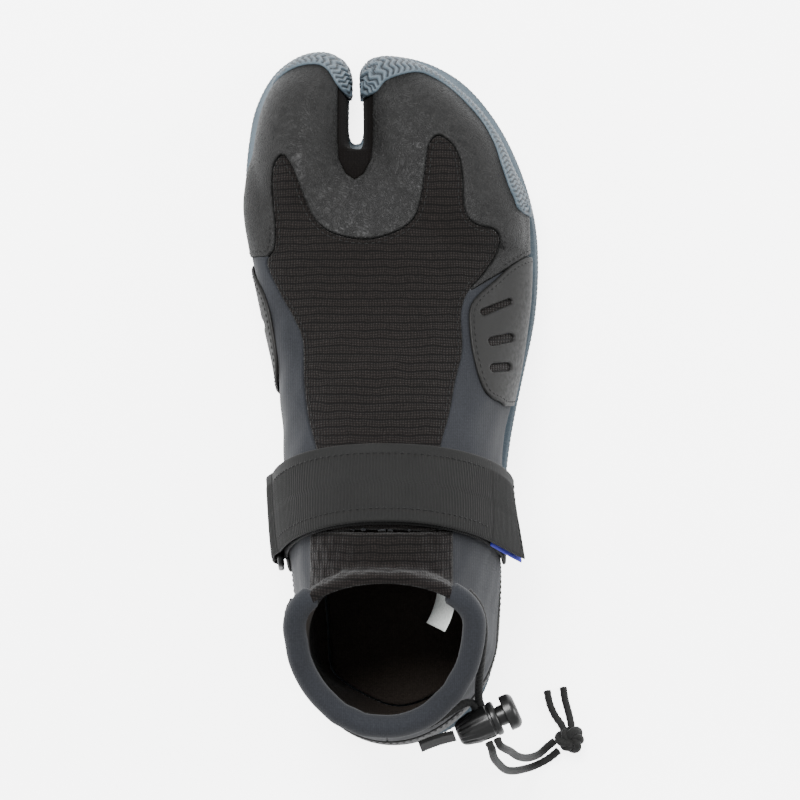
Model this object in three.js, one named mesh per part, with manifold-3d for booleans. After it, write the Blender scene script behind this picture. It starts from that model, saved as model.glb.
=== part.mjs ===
// A split-toe neoprene reef boot for the right foot, with an instep strap and a drawcord collar.
// Millimetres. +Y to the toes, +X to the outer side, +Z up. The origin is on the ground under mid-length.
import * as THREE from "three";
import { mergeVertices } from "three/addons/utils/BufferGeometryUtils.js";
import Module from "manifold-3d";

const wasm = await Module();
wasm.setup();

// ---- Driving dimensions ----
const bootLength = 279;
const bootWidth = 116;
const bootHeight = 115;
const wall = 3; // neoprene
const gap = 0.3; // between pieces that touch
const soleThickness = 5;
const boardThickness = 1.5;
const insoleThickness = 3.5;
const capThickness = 1.6; // rubber over the toes
const overlayThickness = 1;
const throatPatchThickness = 1.2;
const rollDiameter = 9; // collar
const strapWidth = 32;
const strapThickness = 1.7;
const hookThickness = 0.8;
const ringThickness = 2.4;
const ringBar = 2.6;
const ringWindow = 7;
const cordDiameter = 3.2;
const lockRadius = 6.8;
const lockLength = 17;
const lockAngle = 24; // degrees from +X, seen from above
const plungerTravel = 2.5;

// The pattern below is drawn for this size, and is stretched to the driving dimensions.
const pattern = { length: 279, width: 116, height: 115 };
const across = (x) => (x * bootWidth) / pattern.width;
const along = (y) => (y * bootLength) / pattern.length;
const up = (z) => (z * bootHeight) / pattern.height;
const place = (x, y, z) => new THREE.Vector3(across(x), along(y), up(z));
const plan = (points) => points.map(([x, y]) => new THREE.Vector2(across(x), along(y)));
const side = (points) => points.map(([y, z]) => new THREE.Vector2(along(y), up(z)));

const boot = new THREE.Group();
const finish = {
  soleRubber: new THREE.MeshStandardMaterial({ color: 0x5f6f7f, roughness: 0.6, metalness: 0 }),
  grainedRubber: new THREE.MeshStandardMaterial({ color: 0x262828, roughness: 0.55, metalness: 0 }),
  blackRubber: new THREE.MeshStandardMaterial({ color: 0x1a1b1c, roughness: 0.5, metalness: 0 }),
  slateNeoprene: new THREE.MeshStandardMaterial({ color: 0x3e424c, roughness: 0.9, metalness: 0 }),
  blackKnit: new THREE.MeshStandardMaterial({ color: 0x1d1a1a, roughness: 0.95, metalness: 0 }),
  webbing: new THREE.MeshStandardMaterial({ color: 0x2b2c2b, roughness: 0.85, metalness: 0 }),
  blueWebbing: new THREE.MeshStandardMaterial({ color: 0x3434b8, roughness: 0.8, metalness: 0 }),
  blackPlastic: new THREE.MeshStandardMaterial({ color: 0x151617, roughness: 0.4, metalness: 0 }),
  label: new THREE.MeshStandardMaterial({ color: 0xcdd2cd, roughness: 0.8, metalness: 0 }),
  foam: new THREE.MeshStandardMaterial({ color: 0x202224, roughness: 0.95, metalness: 0 }),
  steel: new THREE.MeshStandardMaterial({ color: 0x9a9ca0, roughness: 0.35, metalness: 1 }),
};

// ---- Solids ----
function toSolid(geometry) {
  const bare = geometry.clone();
  bare.deleteAttribute("normal");
  bare.deleteAttribute("uv");
  const merged = mergeVertices(bare, 1e-4);
  const mesh = new wasm.Mesh({
    numProp: 3,
    vertProperties: Float32Array.from(merged.attributes.position.array),
    triVerts: Uint32Array.from(merged.index.array),
  });
  return new wasm.Manifold(mesh);
}

function toGeometry(solid) {
  const mesh = solid.getMesh();
  const geometry = new THREE.BufferGeometry();
  geometry.setAttribute("position", new THREE.BufferAttribute(mesh.vertProperties, 3));
  geometry.setIndex(new THREE.BufferAttribute(mesh.triVerts, 1));
  geometry.computeVertexNormals();
  return geometry;
}

function add(name, shape, material, parent = boot) {
  const geometry = shape.isBufferGeometry ? shape : toGeometry(shape);
  const mesh = new THREE.Mesh(geometry, material);
  mesh.name = name;
  parent.add(mesh);
  return mesh;
}

// Pushes a closed outline outwards by a distance.
function grow(points, distance) {
  const turn = THREE.ShapeUtils.area(points) > 0 ? 1 : -1;
  return points.map((point, i) => {
    const before = points[(i + points.length - 1) % points.length];
    const after = points[(i + 1) % points.length];
    const a = point.clone().sub(before).normalize();
    const b = after.clone().sub(point).normalize();
    const out = new THREE.Vector2(a.y + b.y, -a.x - b.x).normalize();
    const spread = Math.max(0.5, out.x * a.y - out.y * a.x);
    return point.clone().addScaledVector(out, (turn * distance) / spread);
  });
}

// An upright prism over an outline seen from above.
function planPrism(points, low, high) {
  const settings = { depth: high - low, bevelEnabled: false };
  const geometry = new THREE.ExtrudeGeometry(new THREE.Shape(points), settings);
  geometry.translate(0, 0, low);
  return toSolid(geometry);
}

// A prism across the boot over an outline in Y and Z.
function sidePrism(points, left, right) {
  const settings = { depth: right - left, bevelEnabled: false };
  const geometry = new THREE.ExtrudeGeometry(new THREE.Shape(points), settings);
  const turned = new THREE.Matrix4().makeBasis(
    new THREE.Vector3(0, 1, 0),
    new THREE.Vector3(0, 0, 1),
    new THREE.Vector3(1, 0, 0)
  );
  geometry.applyMatrix4(turned);
  geometry.translate(left, 0, 0);
  return toSolid(geometry);
}

function slab(low, high) {
  const geometry = new THREE.BoxGeometry(400, 600, high - low);
  geometry.translate(0, 0, (low + high) / 2);
  return toSolid(geometry);
}

// A closed solid over a row of rings that all have the same number of points.
function loft(rings) {
  const count = rings[0].length;
  const points = rings.flat();
  const faces = [];
  for (let r = 0; r + 1 < rings.length; r++) {
    for (let i = 0; i < count; i++) {
      const j = (i + 1) % count;
      const a = r * count + i;
      const b = r * count + j;
      faces.push(a, b, b + count, a, b + count, a + count);
    }
  }
  for (const [row, flip] of [[0, true], [rings.length - 1, false]]) {
    const middle = new THREE.Vector3();
    rings[row].forEach((point) => middle.addScaledVector(point, 1 / count));
    points.push(middle);
    const hub = points.length - 1;
    for (let i = 0; i < count; i++) {
      const a = row * count + i;
      const b = row * count + ((i + 1) % count);
      faces.push(...(flip ? [hub, b, a] : [hub, a, b]));
    }
  }
  let volume = 0;
  for (let f = 0; f < faces.length; f += 3) {
    volume += points[faces[f]].dot(points[faces[f + 1]].clone().cross(points[faces[f + 2]]));
  }
  if (volume < 0) {
    faces.reverse();
  }
  const geometry = new THREE.BufferGeometry().setFromPoints(points);
  geometry.setIndex(faces);
  return toSolid(geometry);
}

// ---- The foot's form ----
// Each station is one slice of the foot, from its top to its bottom in the middle plane.
// widest is the share of the slice's height, from its bottom, at which it is widest.
const station = (topY, topZ, bottomY, bottomZ, xMin, xMax, xTop, widest = 0.42) => ({
  top: new THREE.Vector2(along(topY), up(topZ)),
  bottom: new THREE.Vector2(along(bottomY), up(bottomZ)),
  xMin: across(xMin),
  xMax: across(xMax),
  xTop: across(xTop),
  widest,
});
const upright = (y, top, xMin, xMax, xTop = (xMin + xMax) / 2) => station(y, top, y, -1, xMin, xMax, xTop);

const bodyStations = [
  upright(101, 30, -57, 39, -17),
  upright(92, 39, -60, 45, -17),
  upright(78, 45.5, -61.2, 51.2, -16),
  upright(62, 50.5, -58.8, 53.2, -15),
  upright(44, 55.5, -54.8, 54, -13),
  upright(28, 61.5, -51.5, 52.6, -11),
  upright(12, 69, -48.2, 49.4, -9),
  station(-4, 76.5, -1, -1, -46.8, 44.4, -7.5),
  station(-20, 84.5, -14, -1, -46, 41.4, -6.5),
  station(-34, 93.5, -36, -1, -45.2, 40.6, -6),
  station(-46, 100, -64, -1, -43.8, 40.2, -5.5),
  station(-54, 102.8, -92, -1, -41.5, 39.6, -5.5, 0.42),
  station(-58.6, 104, -116, -1, -39.4, 38.8, -5.5, 0.44),
  station(-61, 104.6, -131, 10, -38.2, 37.4, -5.5, 0.48),
  station(-62.2, 104.9, -137, 32, -38, 34.6, -5.5, 0.55),
  station(-63, 105.1, -134.5, 55, -38.8, 31, -6, 0.62),
  station(-63.5, 105.3, -129.5, 76, -40, 29.4, -6, 0.68),
];
const topline = {
  front: new THREE.Vector2(along(-65), up(110)),
  back: new THREE.Vector2(along(-125.5), up(97)),
};

// A slice of the ankle that stands h above the topline.
function rimStation(h) {
  const run = topline.back.clone().sub(topline.front).normalize();
  const rise = new THREE.Vector2(run.y, -run.x);
  const level = station(0, 0, 0, 0, -41.2, 29.6, -6, 0.68);
  level.top = topline.front.clone().addScaledVector(rise, h);
  level.bottom = topline.back.clone().addScaledVector(rise, h);
  return level;
}

const bigToeStations = [
  upright(66, 44, -57.5, -14),
  upright(84, 44, -60, -17.5),
  upright(98, 42, -59, -19.8),
  upright(109, 39, -57.6, -20.6),
  upright(118, 35.5, -55.4, -20.8),
  upright(126, 31, -52, -21),
  upright(133, 24.5, -46.5, -21.8),
  upright(137, 19, -41.5, -24.5),
  upright(139.2, 13.5, -37, -29),
];
const smallToesStations = [
  upright(62, 46, -24, 51),
  upright(78, 45, -20, 49.5),
  upright(92, 42, -16, 44.5),
  upright(101, 39.5, -15.2, 40.8),
  upright(110, 36, -15.2, 35.8),
  upright(119, 31.5, -15.2, 28.8),
  upright(127, 26.5, -15.1, 20),
  upright(133, 21.5, -14.4, 11.6),
  upright(136.4, 16.5, -12.4, 4.2),
  upright(137.8, 12, -10, -2),
];

// A slice is a rounded shape: 1 is an ellipse, and a lower power is squarer.
const footprintPower = 0.6;
const instepPower = 0.92;
const footprintHeight = 5; // only slices that reach the ground are squarer below
const ankleShare = 0.5;
const bodySides = 28;
const toeSides = 18;

// The points round a slice. offset moves the whole outline outwards.
function slice(level, offset, count) {
  const run = level.top.clone().sub(level.bottom).normalize();
  const top = level.top.clone().addScaledVector(run, offset);
  const bottom = level.bottom.clone().addScaledVector(run, -offset);
  const middle = (level.xMin + level.xMax) / 2;
  const half = (level.xMax - level.xMin) / 2 + offset;
  const upperPower = level.widest > ankleShare ? 1 : instepPower;
  const points = [];
  for (let i = 0; i < count; i++) {
    const angle = (2 * Math.PI * i) / count;
    const power = Math.sin(angle) < 0 && level.bottom.y < footprintHeight ? footprintPower : upperPower;
    const out = Math.sign(Math.cos(angle)) * Math.abs(Math.cos(angle)) ** power;
    const rise = Math.sign(Math.sin(angle)) * Math.abs(Math.sin(angle)) ** power;
    const height = level.widest + rise * (rise > 0 ? 1 - level.widest : level.widest);
    const lean = (level.xTop - middle) * Math.max(0, rise);
    const yz = bottom.clone().lerp(top, height);
    points.push(new THREE.Vector3(middle + half * out + lean, yz.x, yz.y));
  }
  return points;
}

// A toe's slices, stretched so that its tip moves by offset.
function toe(stations, offset) {
  const root = stations[0].top.x;
  const reach = stations.at(-1).top.x - root;
  const rings = stations.map((level) => {
    const shift = (offset * (level.top.x - root)) / reach;
    return slice(level, offset, toeSides).map((point) => point.setY(point.y + shift));
  });
  return loft(rings);
}

// The foot, grown by offset, up to rim above the topline.
function foot(offset, rim) {
  const rings = [...bodyStations, rimStation(rim)].map((level) => slice(level, offset, bodySides));
  rings[0] = rings[0].map((point) => point.setY(point.y + offset)); // the wall in the crotch between the toes
  const whole = loft(rings).add(toe(bigToeStations, offset)).add(toe(smallToesStations, offset));
  return whole.intersect(slab(soleThickness + gap, 300));
}

const shellRim = -rollDiameter / 2 - gap;
const outer = foot(0, shellRim);
const hollow = foot(-wall, 20); // runs on above the topline
const cavity = hollow.add(hollow.intersect(slab(soleThickness, 12)).translate([0, 0, -2]));
const shell = outer.subtract(cavity);
const skin = (low, high) => foot(high, shellRim).subtract(foot(low, shellRim));

// ---- Sole ----
const soleOutline = plan([
  [-20.6, 112], [-20.8, 130], [-24, 138], [-31, 141.4], [-41, 139.6], [-51, 132], [-58, 119],
  [-61, 104], [-62.2, 88],
  [-61.4, 70], [-57, 48], [-48, 24], [-41, 2], [-37, -22], [-36, -50], [-36.5, -80], [-36, -100],
  [-31, -120],
  [-18, -134], [1, -138], [20, -134], [33, -120], [38.4, -100], [39.6, -76], [41, -50],
  [43.6, -20], [48, 8],
  [53, 36], [54.8, 60], [53, 78], [47, 97], [38, 114], [26, 128], [12, 136.4], [-3, 139.8], [-11, 138.4],
  [-15, 131], [-15.2, 112], [-17.9, 108.6],
]);
const soleCurve = new THREE.CatmullRomCurve3(
  soleOutline.map((point) => new THREE.Vector3(point.x, point.y, 0)),
  true,
  "centripetal"
);
const solePoints = soleCurve.getPoints(110).slice(0, -1).map((point) => new THREE.Vector2(point.x, point.y));
add("outsole", planPrism(solePoints, 0, soleThickness), finish.soleRubber);
const boardTop = soleThickness + gap + boardThickness;
const footprint = foot(-wall - gap, 0);
add("lasting_board", footprint.intersect(slab(soleThickness + gap, boardTop)), finish.blackKnit);
add("insole", footprint.intersect(slab(boardTop + gap, boardTop + gap + insoleThickness)), finish.foam);

// ---- Toe caps: rubber wrapped up over the toes ----
const bigCapOutline = plan([
  [-80, 116], [-57.9, 117], [-51, 127.5], [-42.7, 133.4], [-34.3, 134.8], [-29.5, 132.5], [-25.9, 126.5],
  [-21.6, 122], [-21.2, 122], [-21.2, 150], [-80, 150],
]);
const smallCapOutline = plan([
  [-14.6, 121.7], [-9.2, 123.7], [-4.8, 128.5], [6, 131.7], [12.8, 130], [21.1, 124.5], [31, 114],
  [37, 103.4],
  [40.3, 93.4], [44.7, 81.4], [50.7, 74.2], [80, 70], [80, 150], [-14.6, 150],
]);
const capSkin = skin(gap, gap + capThickness);
add("big_toe_cap", capSkin.intersect(planPrism(bigCapOutline, 0, 80)), finish.soleRubber);
add("small_toes_cap", capSkin.intersect(planPrism(smallCapOutline, 0, 80)), finish.soleRubber);

// ---- Upper ----
const kneeHeight = up(22); // the plan outlines cut the wall only above this height
const instepOutline = plan([
  [-47, 97.5], [-43.5, 94], [-40, 86], [-35.6, 75], [-30, 68], [-22, 64.6], [-7, 64.6], [1, 68],
  [6, 73], [8, 81],
  [10, 92.5], [10.6, 102], [15, 106], [20, 103], [23.5, 97.5], [25, 89], [25.3, 79], [27, 72.5], [30, 69],
  [37.7, 68], [40, 64], [38.5, 58], [33, 50], [27, 42.6], [24, 35.5], [24.8, 20], [22, 8],
  [19.5, -5], [15.7, -19],
  [15, -48.4], [-30, -48.4], [-32, -22], [-36, -7], [-38, 8], [-38.5, 23], [-41, 30], [-48, 42.5],
  [-53.6, 55],
  [-48.7, 60], [-49.5, 69], [-51.5, 84], [-51, 93],
]);
const toeOutline = plan([
  [-90, 57], [-52, 57], [0, 50], [27.5, 43], [52, 59.5], [90, 64], [90, 170], [-90, 170],
]);
const toeGapOutline = plan([
  [-20.8, 119.4], [-20.8, 106], [-20.6, 99], [-18, 93.6], [-15.4, 99], [-15.2, 106], [-15.2, 119.4],
]);
const gussetFoot = up(16); // wider below, where the toes' walls round over into the footbed
const gussetCut = (spare) => {
  const above = planPrism(grow(toeGapOutline, wall + 1.2 + spare), 0, 200);
  return above.add(planPrism(grow(toeGapOutline, wall + 3.2 + spare), 0, gussetFoot + spare));
};
const throatOutline = plan([[-33.6, -49], [19.7, -49], [19.7, -84], [-33.6, -84]]);
const counterOutline = side([[-56, -9], [-60, 22], [-70, 38], [-90, 50], [-112, 57], [-160, 60], [-160, -9]]);

const instepPrism = planPrism(instepOutline, kneeHeight, 200);
const instepHole = planPrism(grow(instepOutline, gap), kneeHeight - gap, 200);
const toePrism = planPrism(toeOutline, 0, 200);
const toeHole = planPrism(grow(toeOutline, gap), 0, 200);
const throatHole = planPrism(grow(throatOutline, gap), up(80), 200);
const counterPrism = sidePrism(counterOutline, -120, 120);
const counterHole = sidePrism(grow(counterOutline, gap), -120, 120);

const toePanel = shell.intersect(toePrism).subtract(instepHole).subtract(gussetCut(gap));
add("toe_panel", toePanel, finish.grainedRubber);
add("toe_gusset", shell.intersect(gussetCut(0)), finish.blackKnit);
add("instep_panel", shell.intersect(instepPrism), finish.blackKnit);
add("heel_counter", shell.intersect(counterPrism), finish.blackRubber);

const quarters = shell.subtract(toeHole).subtract(instepHole).subtract(throatHole).subtract(counterHole);
const seamX = across(-5);
const farAway = 400;
const wholeSide = [
  new THREE.Vector2(-farAway, -farAway),
  new THREE.Vector2(farAway, -farAway),
  new THREE.Vector2(farAway, farAway),
  new THREE.Vector2(-farAway, farAway),
];
add("medial_quarter", quarters.intersect(sidePrism(wholeSide, -farAway, seamX)), finish.slateNeoprene);
add("lateral_quarter", quarters.intersect(sidePrism(wholeSide, seamX + gap, farAway)), finish.slateNeoprene);

// ---- Vented overlays on both sides ----
const lateralOutline = plan([
  [28, 38], [27.4, 26], [29.4, 13], [33, 3], [46, -2], [80, 8], [80, 60], [60, 58], [51, 58], [38, 48],
]);
const vents = [
  { x: 37.5, y: 36.7, width: 13.5, slot: 2.2, turn: 24 },
  { x: 39.3, y: 23.8, width: 10.5, slot: 3.3, turn: 14 },
  { x: 38.9, y: 12.8, width: 8.5, slot: 3.3, turn: 6 },
];
const overlaySkin = skin(gap, gap + overlayThickness).intersect(slab(soleThickness + 4, 300));
let lateralOverlay = overlaySkin.intersect(planPrism(lateralOutline, 0, 100));
for (const vent of vents) {
  const cut = new THREE.BoxGeometry(vent.width, vent.slot, 60);
  cut.rotateZ(THREE.MathUtils.degToRad(vent.turn));
  cut.translate(across(vent.x), along(vent.y), up(56));
  lateralOverlay = lateralOverlay.subtract(toSolid(cut));
}
add("lateral_vent_overlay", lateralOverlay, finish.blackRubber);

const medialOutline = side([[52, 9], [54, 26], [44, 40], [28, 46], [12, 47], [4, 38], [2, 20], [6, 9]]);
let medialOverlay = overlaySkin.intersect(sidePrism(medialOutline, -120, across(-20)));
for (const y of [31, 17]) {
  const cut = new THREE.BoxGeometry(60, 3.3, 12);
  cut.rotateX(THREE.MathUtils.degToRad(-16));
  cut.translate(across(-60), along(y), up(33));
  medialOverlay = medialOverlay.subtract(toSolid(cut));
}
add("medial_vent_overlay", medialOverlay, finish.blackRubber);

// ---- Collar ----
// A point on the topline, by its angle round the ankle: 90 is the front, 0 the outer side, -90 the back.
function toplinePoint(angle, offset, h) {
  const level = rimStation(h);
  const ring = slice(level, offset, 360);
  return ring[((Math.round(angle) % 360) + 360) % 360];
}

function sweep(points, radius, sides, steps) {
  const path = new THREE.CatmullRomCurve3(points, false, "centripetal");
  const round = new THREE.Shape();
  for (let i = 0; i < sides; i++) {
    const angle = (2 * Math.PI * i) / sides;
    const corner = [radius * Math.cos(angle), radius * Math.sin(angle)];
    if (i === 0) {
      round.moveTo(...corner);
    } else {
      round.lineTo(...corner);
    }
  }
  return new THREE.ExtrudeGeometry(round, { steps, bevelEnabled: false, extrudePath: path });
}

const rollStart = 46;
const rollEnd = -220;
const rollPoints = [];
for (let i = 0; i <= 24; i++) {
  rollPoints.push(toplinePoint(rollStart + ((rollEnd - rollStart) * i) / 24, -wall / 2, 0));
}
add("collar_roll", sweep(rollPoints, rollDiameter / 2, 8, 30), finish.slateNeoprene);

// ---- Care label, sewn inside the collar on the outer side ----
const label = add("size_label", new THREE.BoxGeometry(0.6, 15, 20), finish.label);
label.position.copy(place(17, -88, 92));
label.rotation.set(0, THREE.MathUtils.degToRad(4), THREE.MathUtils.degToRad(-11));

// ---- Strap ----
// a runs down the strap from the ridge, b across it towards the heel, both in the side view.
const strapLean = THREE.MathUtils.degToRad(17);
const ridgePoint = new THREE.Vector2(along(-33), up(93.4));
const strapDown = new THREE.Vector2(-Math.sin(strapLean), -Math.cos(strapLean));
const strapBack = new THREE.Vector2(-Math.cos(strapLean), Math.sin(strapLean));
const onStrap = (a, b) => ridgePoint.clone().addScaledVector(strapDown, a).addScaledVector(strapBack, b);
function strapBlock(from, to, halfWidth, left, right) {
  const corners = [
    onStrap(from, -halfWidth),
    onStrap(to, -halfWidth),
    onStrap(to, halfWidth),
    onStrap(from, halfWidth),
  ];
  return sidePrism(corners, left, right);
}
const middleX = across(-5);
const inner = (a, b, half = strapWidth / 2) => strapBlock(a, b, half, -120, middleX);
const outerSide = (a, b, half = strapWidth / 2) => strapBlock(a, b, half, middleX, 120);
const all = (a, b, half = strapWidth / 2) => strapBlock(a, b, half, -120, 120);

// ---- Throat patch: the front of the collar, between the ends of the roll ----
const rollRoom = toSolid(sweep(rollPoints, rollDiameter / 2 + gap, 8, 30));
const strapRoom = foot(20, 0).subtract(outer).intersect(all(-40, 60, strapWidth / 2 + gap));
const throat = foot(throatPatchThickness, rollDiameter / 2).subtract(cavity);
const throatPrism = planPrism(throatOutline, up(80), 200);
const throatPatch = throat.intersect(throatPrism).subtract(rollRoom).subtract(strapRoom);
add("throat_patch", throatPatch, finish.blackKnit);

// Heights of the layers above the boot's skin.
const lowerLow = 0.5;
const lowerHigh = lowerLow + strapThickness;
const hookLow = lowerHigh + gap;
const hookHigh = hookLow + hookThickness;
const upperLow = hookHigh + gap;
const upperHigh = upperLow + strapThickness;
const barLow = lowerHigh + 0.6;
const barHigh = barLow + ringThickness;
const turnLow = barHigh + 0.6;
const turnHigh = turnLow + strapThickness;

// Places down the strap.
const top = -40;
const anchor = 60;
const upperBar = 44;
const windowTop = upperBar + ringBar;
const windowBottom = windowTop + ringWindow;
const lowerBar = windowBottom + ringBar;
const foldTop = windowTop + 1;
const foldBottom = foldTop + strapThickness;
const crease = 22;
const tipEnd = 50;

const lowerSkin = skin(lowerLow, lowerHigh);
const turnSkin = skin(turnLow, turnHigh);
const throughSkin = skin(lowerLow, turnHigh);
const lowerSpan = inner(top, upperBar - 1).add(outerSide(top, anchor));
add("strap_lower", lowerSkin.intersect(lowerSpan), finish.webbing);

const ringHalf = strapWidth / 2 + 0.6;
const ring = skin(barLow, barHigh).intersect(
  inner(upperBar, lowerBar, ringHalf + ringBar).subtract(inner(windowTop, windowBottom, ringHalf))
);
add("strap_ring", ring, finish.blackPlastic);

const turn = lowerSkin.intersect(inner(upperBar - 0.2, foldBottom))
  .add(turnSkin.intersect(inner(upperBar - 0.2, foldBottom)))
  .add(throughSkin.intersect(inner(foldTop, foldBottom)));
add("strap_turn", turn, finish.webbing);

const step = upperBar - 8;
const upperStrap = skin(upperLow, upperHigh).intersect(inner(top, step).add(outerSide(top, crease)))
  .add(turnSkin.intersect(inner(step - strapThickness, upperBar - 0.6)))
  .add(skin(upperLow, turnHigh).intersect(inner(step - strapThickness, step)));
add("strap_upper", upperStrap, finish.webbing);
const hookPatch = skin(hookLow, hookHigh).intersect(outerSide(4, crease - 1, strapWidth / 2 - 2));
add("hook_patch", hookPatch, finish.webbing);
add("strap_tip", skin(upperLow, upperHigh).intersect(outerSide(crease + 0.4, tipEnd)), finish.webbing);
const pullTab = skin(hookLow, hookHigh).intersect(outerSide(crease + 1.5, tipEnd + 3, strapWidth / 2 - 1));
add("pull_tab", pullTab, finish.blueWebbing);

const tabHalf = strapWidth / 2 - 1;
const loopTop = windowBottom - 3;
const loopEnd = lowerBar + 7;
const ringWebbing = lowerSkin.intersect(inner(loopTop, loopEnd + 12, tabHalf))
  .add(turnSkin.intersect(inner(loopTop, loopEnd, tabHalf)))
  .add(throughSkin.intersect(inner(loopTop, loopTop + strapThickness, tabHalf)))
  .add(throughSkin.intersect(inner(loopEnd - strapThickness, loopEnd, tabHalf)));
add("ring_webbing", ringWebbing, finish.webbing);

// ---- Cord lock: a barrel with a sprung plunger, on its side behind the outer ankle ----
const lockPlace = place(30, -125.5, 79);
const lock = new THREE.Group();
lock.position.copy(lockPlace);
lock.rotation.z = THREE.MathUtils.degToRad(lockAngle);
boot.add(lock);
const holeX = 3;
const holeLength = 2 * cordDiameter + 0.8;
const holeHeight = cordDiameter + 0.4;
const boreRadius = 4.3;
const stemRadius = 4;
const lathe = (profile) => {
  const points = profile.map(([x, radius]) => new THREE.Vector2(radius, x));
  const geometry = new THREE.LatheGeometry(points, 24);
  geometry.rotateZ(-Math.PI / 2);
  return toSolid(geometry);
};
const cordHole = (shift) => {
  const cut = new THREE.BoxGeometry(holeLength, 40, holeHeight);
  cut.translate(holeX + shift, 0, 0);
  return toSolid(cut);
};
const rear = -lockLength / 2;
const front = lockLength / 2;
const boreEnd = rear + 2;
const lockShell = lathe([
  [rear, 0], [rear, 3.4], [rear + 1.4, 5], [rear + 7, lockRadius - 0.4], [front - 1, lockRadius],
  [front, lockRadius - 0.8],
  [front, boreRadius], [boreEnd, boreRadius], [boreEnd, 0],
]);
add("cord_lock_body", lockShell.subtract(cordHole(0)), finish.blackPlastic, lock);
const stemEnd = rear + 6.5;
const headBase = front + plungerTravel + 0.4;
const head = 6;
const plungerSolid = lathe([
  [stemEnd, 0], [stemEnd, stemRadius], [headBase, stemRadius], [headBase, lockRadius + 0.2],
  [headBase + head - 2.5, lockRadius + 0.2], [headBase + head - 0.8, lockRadius - 1.6],
  [headBase + head, lockRadius - 4],
  [headBase + head, 0],
]);
add("cord_lock_plunger", plungerSolid.subtract(cordHole(plungerTravel)), finish.blackPlastic, lock);
const springEnd = boreEnd + gap;
const spring = lathe([
  [springEnd, 2.2], [springEnd, 3.6], [stemEnd - gap, 3.6], [stemEnd - gap, 2.2], [springEnd, 2.2],
]);
add("cord_lock_spring", spring, finish.steel, lock);

// ---- Drawcord under the collar roll, from both front seams round to the lock ----
lock.updateMatrixWorld(true);
const lockPoint = (x, y, z) => new THREE.Vector3(x, y, z).applyMatrix4(lock.matrixWorld);
const cordRadius = cordDiameter / 2;
const cordOffset = cordRadius + 2.4; // the ankle swells below the topline
const cordDrop = -rollDiameter / 2 - cordRadius - 0.9;
const cordAt = (angle) => toplinePoint(angle, cordOffset, cordDrop);
const holeEntry = lockRadius + 0.6;
const rearX = holeX - cordRadius - gap / 2;
const frontX = holeX + cordRadius + gap / 2;
const lateralRun = [30, 12, -6, -22].map(cordAt);
lateralRun.push(lockPoint(frontX, holeEntry + 2.5, 1.5), lockPoint(frontX, holeEntry, 0));
add("drawcord_lateral", sweep(lateralRun, cordRadius, 8, 20), finish.webbing);
const medialRun = [-200, -182, -162, -142, -122, -102, -84, -66].map(cordAt);
medialRun.push(lockPoint(rearX - 1, holeEntry + 2.5, 1.5), lockPoint(rearX, holeEntry, 0));
add("drawcord_medial", sweep(medialRun, cordRadius, 8, 32), finish.webbing);

// ---- Free ends of the drawcord, from the lock down to the ground ----
const v = (x, y, z) => new THREE.Vector3(x, y, z);
const outerTail = [
  lockPoint(rearX, -holeEntry, 0), lockPoint(rearX, -holeEntry - 3, -1), v(36.4, -138.6, 70),
  v(38.6, -142.4, 58), v(41.8, -146.6, 42), v(45.6, -149, 26),
  v(50, -150, 12), v(54.6, -149.6, 4.4), v(60.4, -147, 2.2), v(64.8, -143.4, 3.2),
];
add("cord_tail_outer", sweep(outerTail, cordRadius, 8, 24), finish.webbing);
const innerTail = [
  lockPoint(frontX, -holeEntry, 0), lockPoint(frontX, -holeEntry - 3, -1), v(41, -135.4, 70),
  v(43.2, -137.6, 58), v(46.4, -141.2, 42), v(50, -143.8, 26),
  v(53.8, -145, 12), v(57.2, -144.4, 4.6), v(60.2, -142, 2.4), v(63, -139.6, 3.6),
];
add("cord_tail_inner", sweep(innerTail, cordRadius, 8, 24), finish.webbing);
const knot = new THREE.SphereGeometry(1, 14, 10);
knot.scale(6, 5.2, 4.4);
const knotMesh = add("cord_knot", toSolid(knot), finish.webbing);
knotMesh.position.set(69.6, -138.6, 4.6);
const longEnd = [v(66.6, -133.6, 3.6), v(63.6, -129.4, 2.4), v(61.4, -124.6, 2), v(60.2, -119, 2)];
add("cord_end_long", sweep(longEnd, cordRadius, 8, 8), finish.webbing);
const shortEnd = [v(70.3, -132.9, 3.6), v(69, -128, 2.4), v(67.6, -122.8, 2), v(66.8, -117.6, 2)];
add("cord_end_short", sweep(shortEnd, cordRadius, 8, 8), finish.webbing);

// ---- Webbing tab on the collar's back, beside the cord lock ----
const tab = new THREE.BoxGeometry(14, 1.2, 8);
const tabMesh = add("heel_webbing_tab", tab, finish.webbing);
tabMesh.position.copy(place(14, -129.5, 88));
tabMesh.rotation.z = THREE.MathUtils.degToRad(18);

export default boot;
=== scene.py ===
import math

import bmesh
import bpy
import numpy as np
from mathutils import Matrix, Vector
from mathutils.bvhtree import BVHTree


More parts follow.
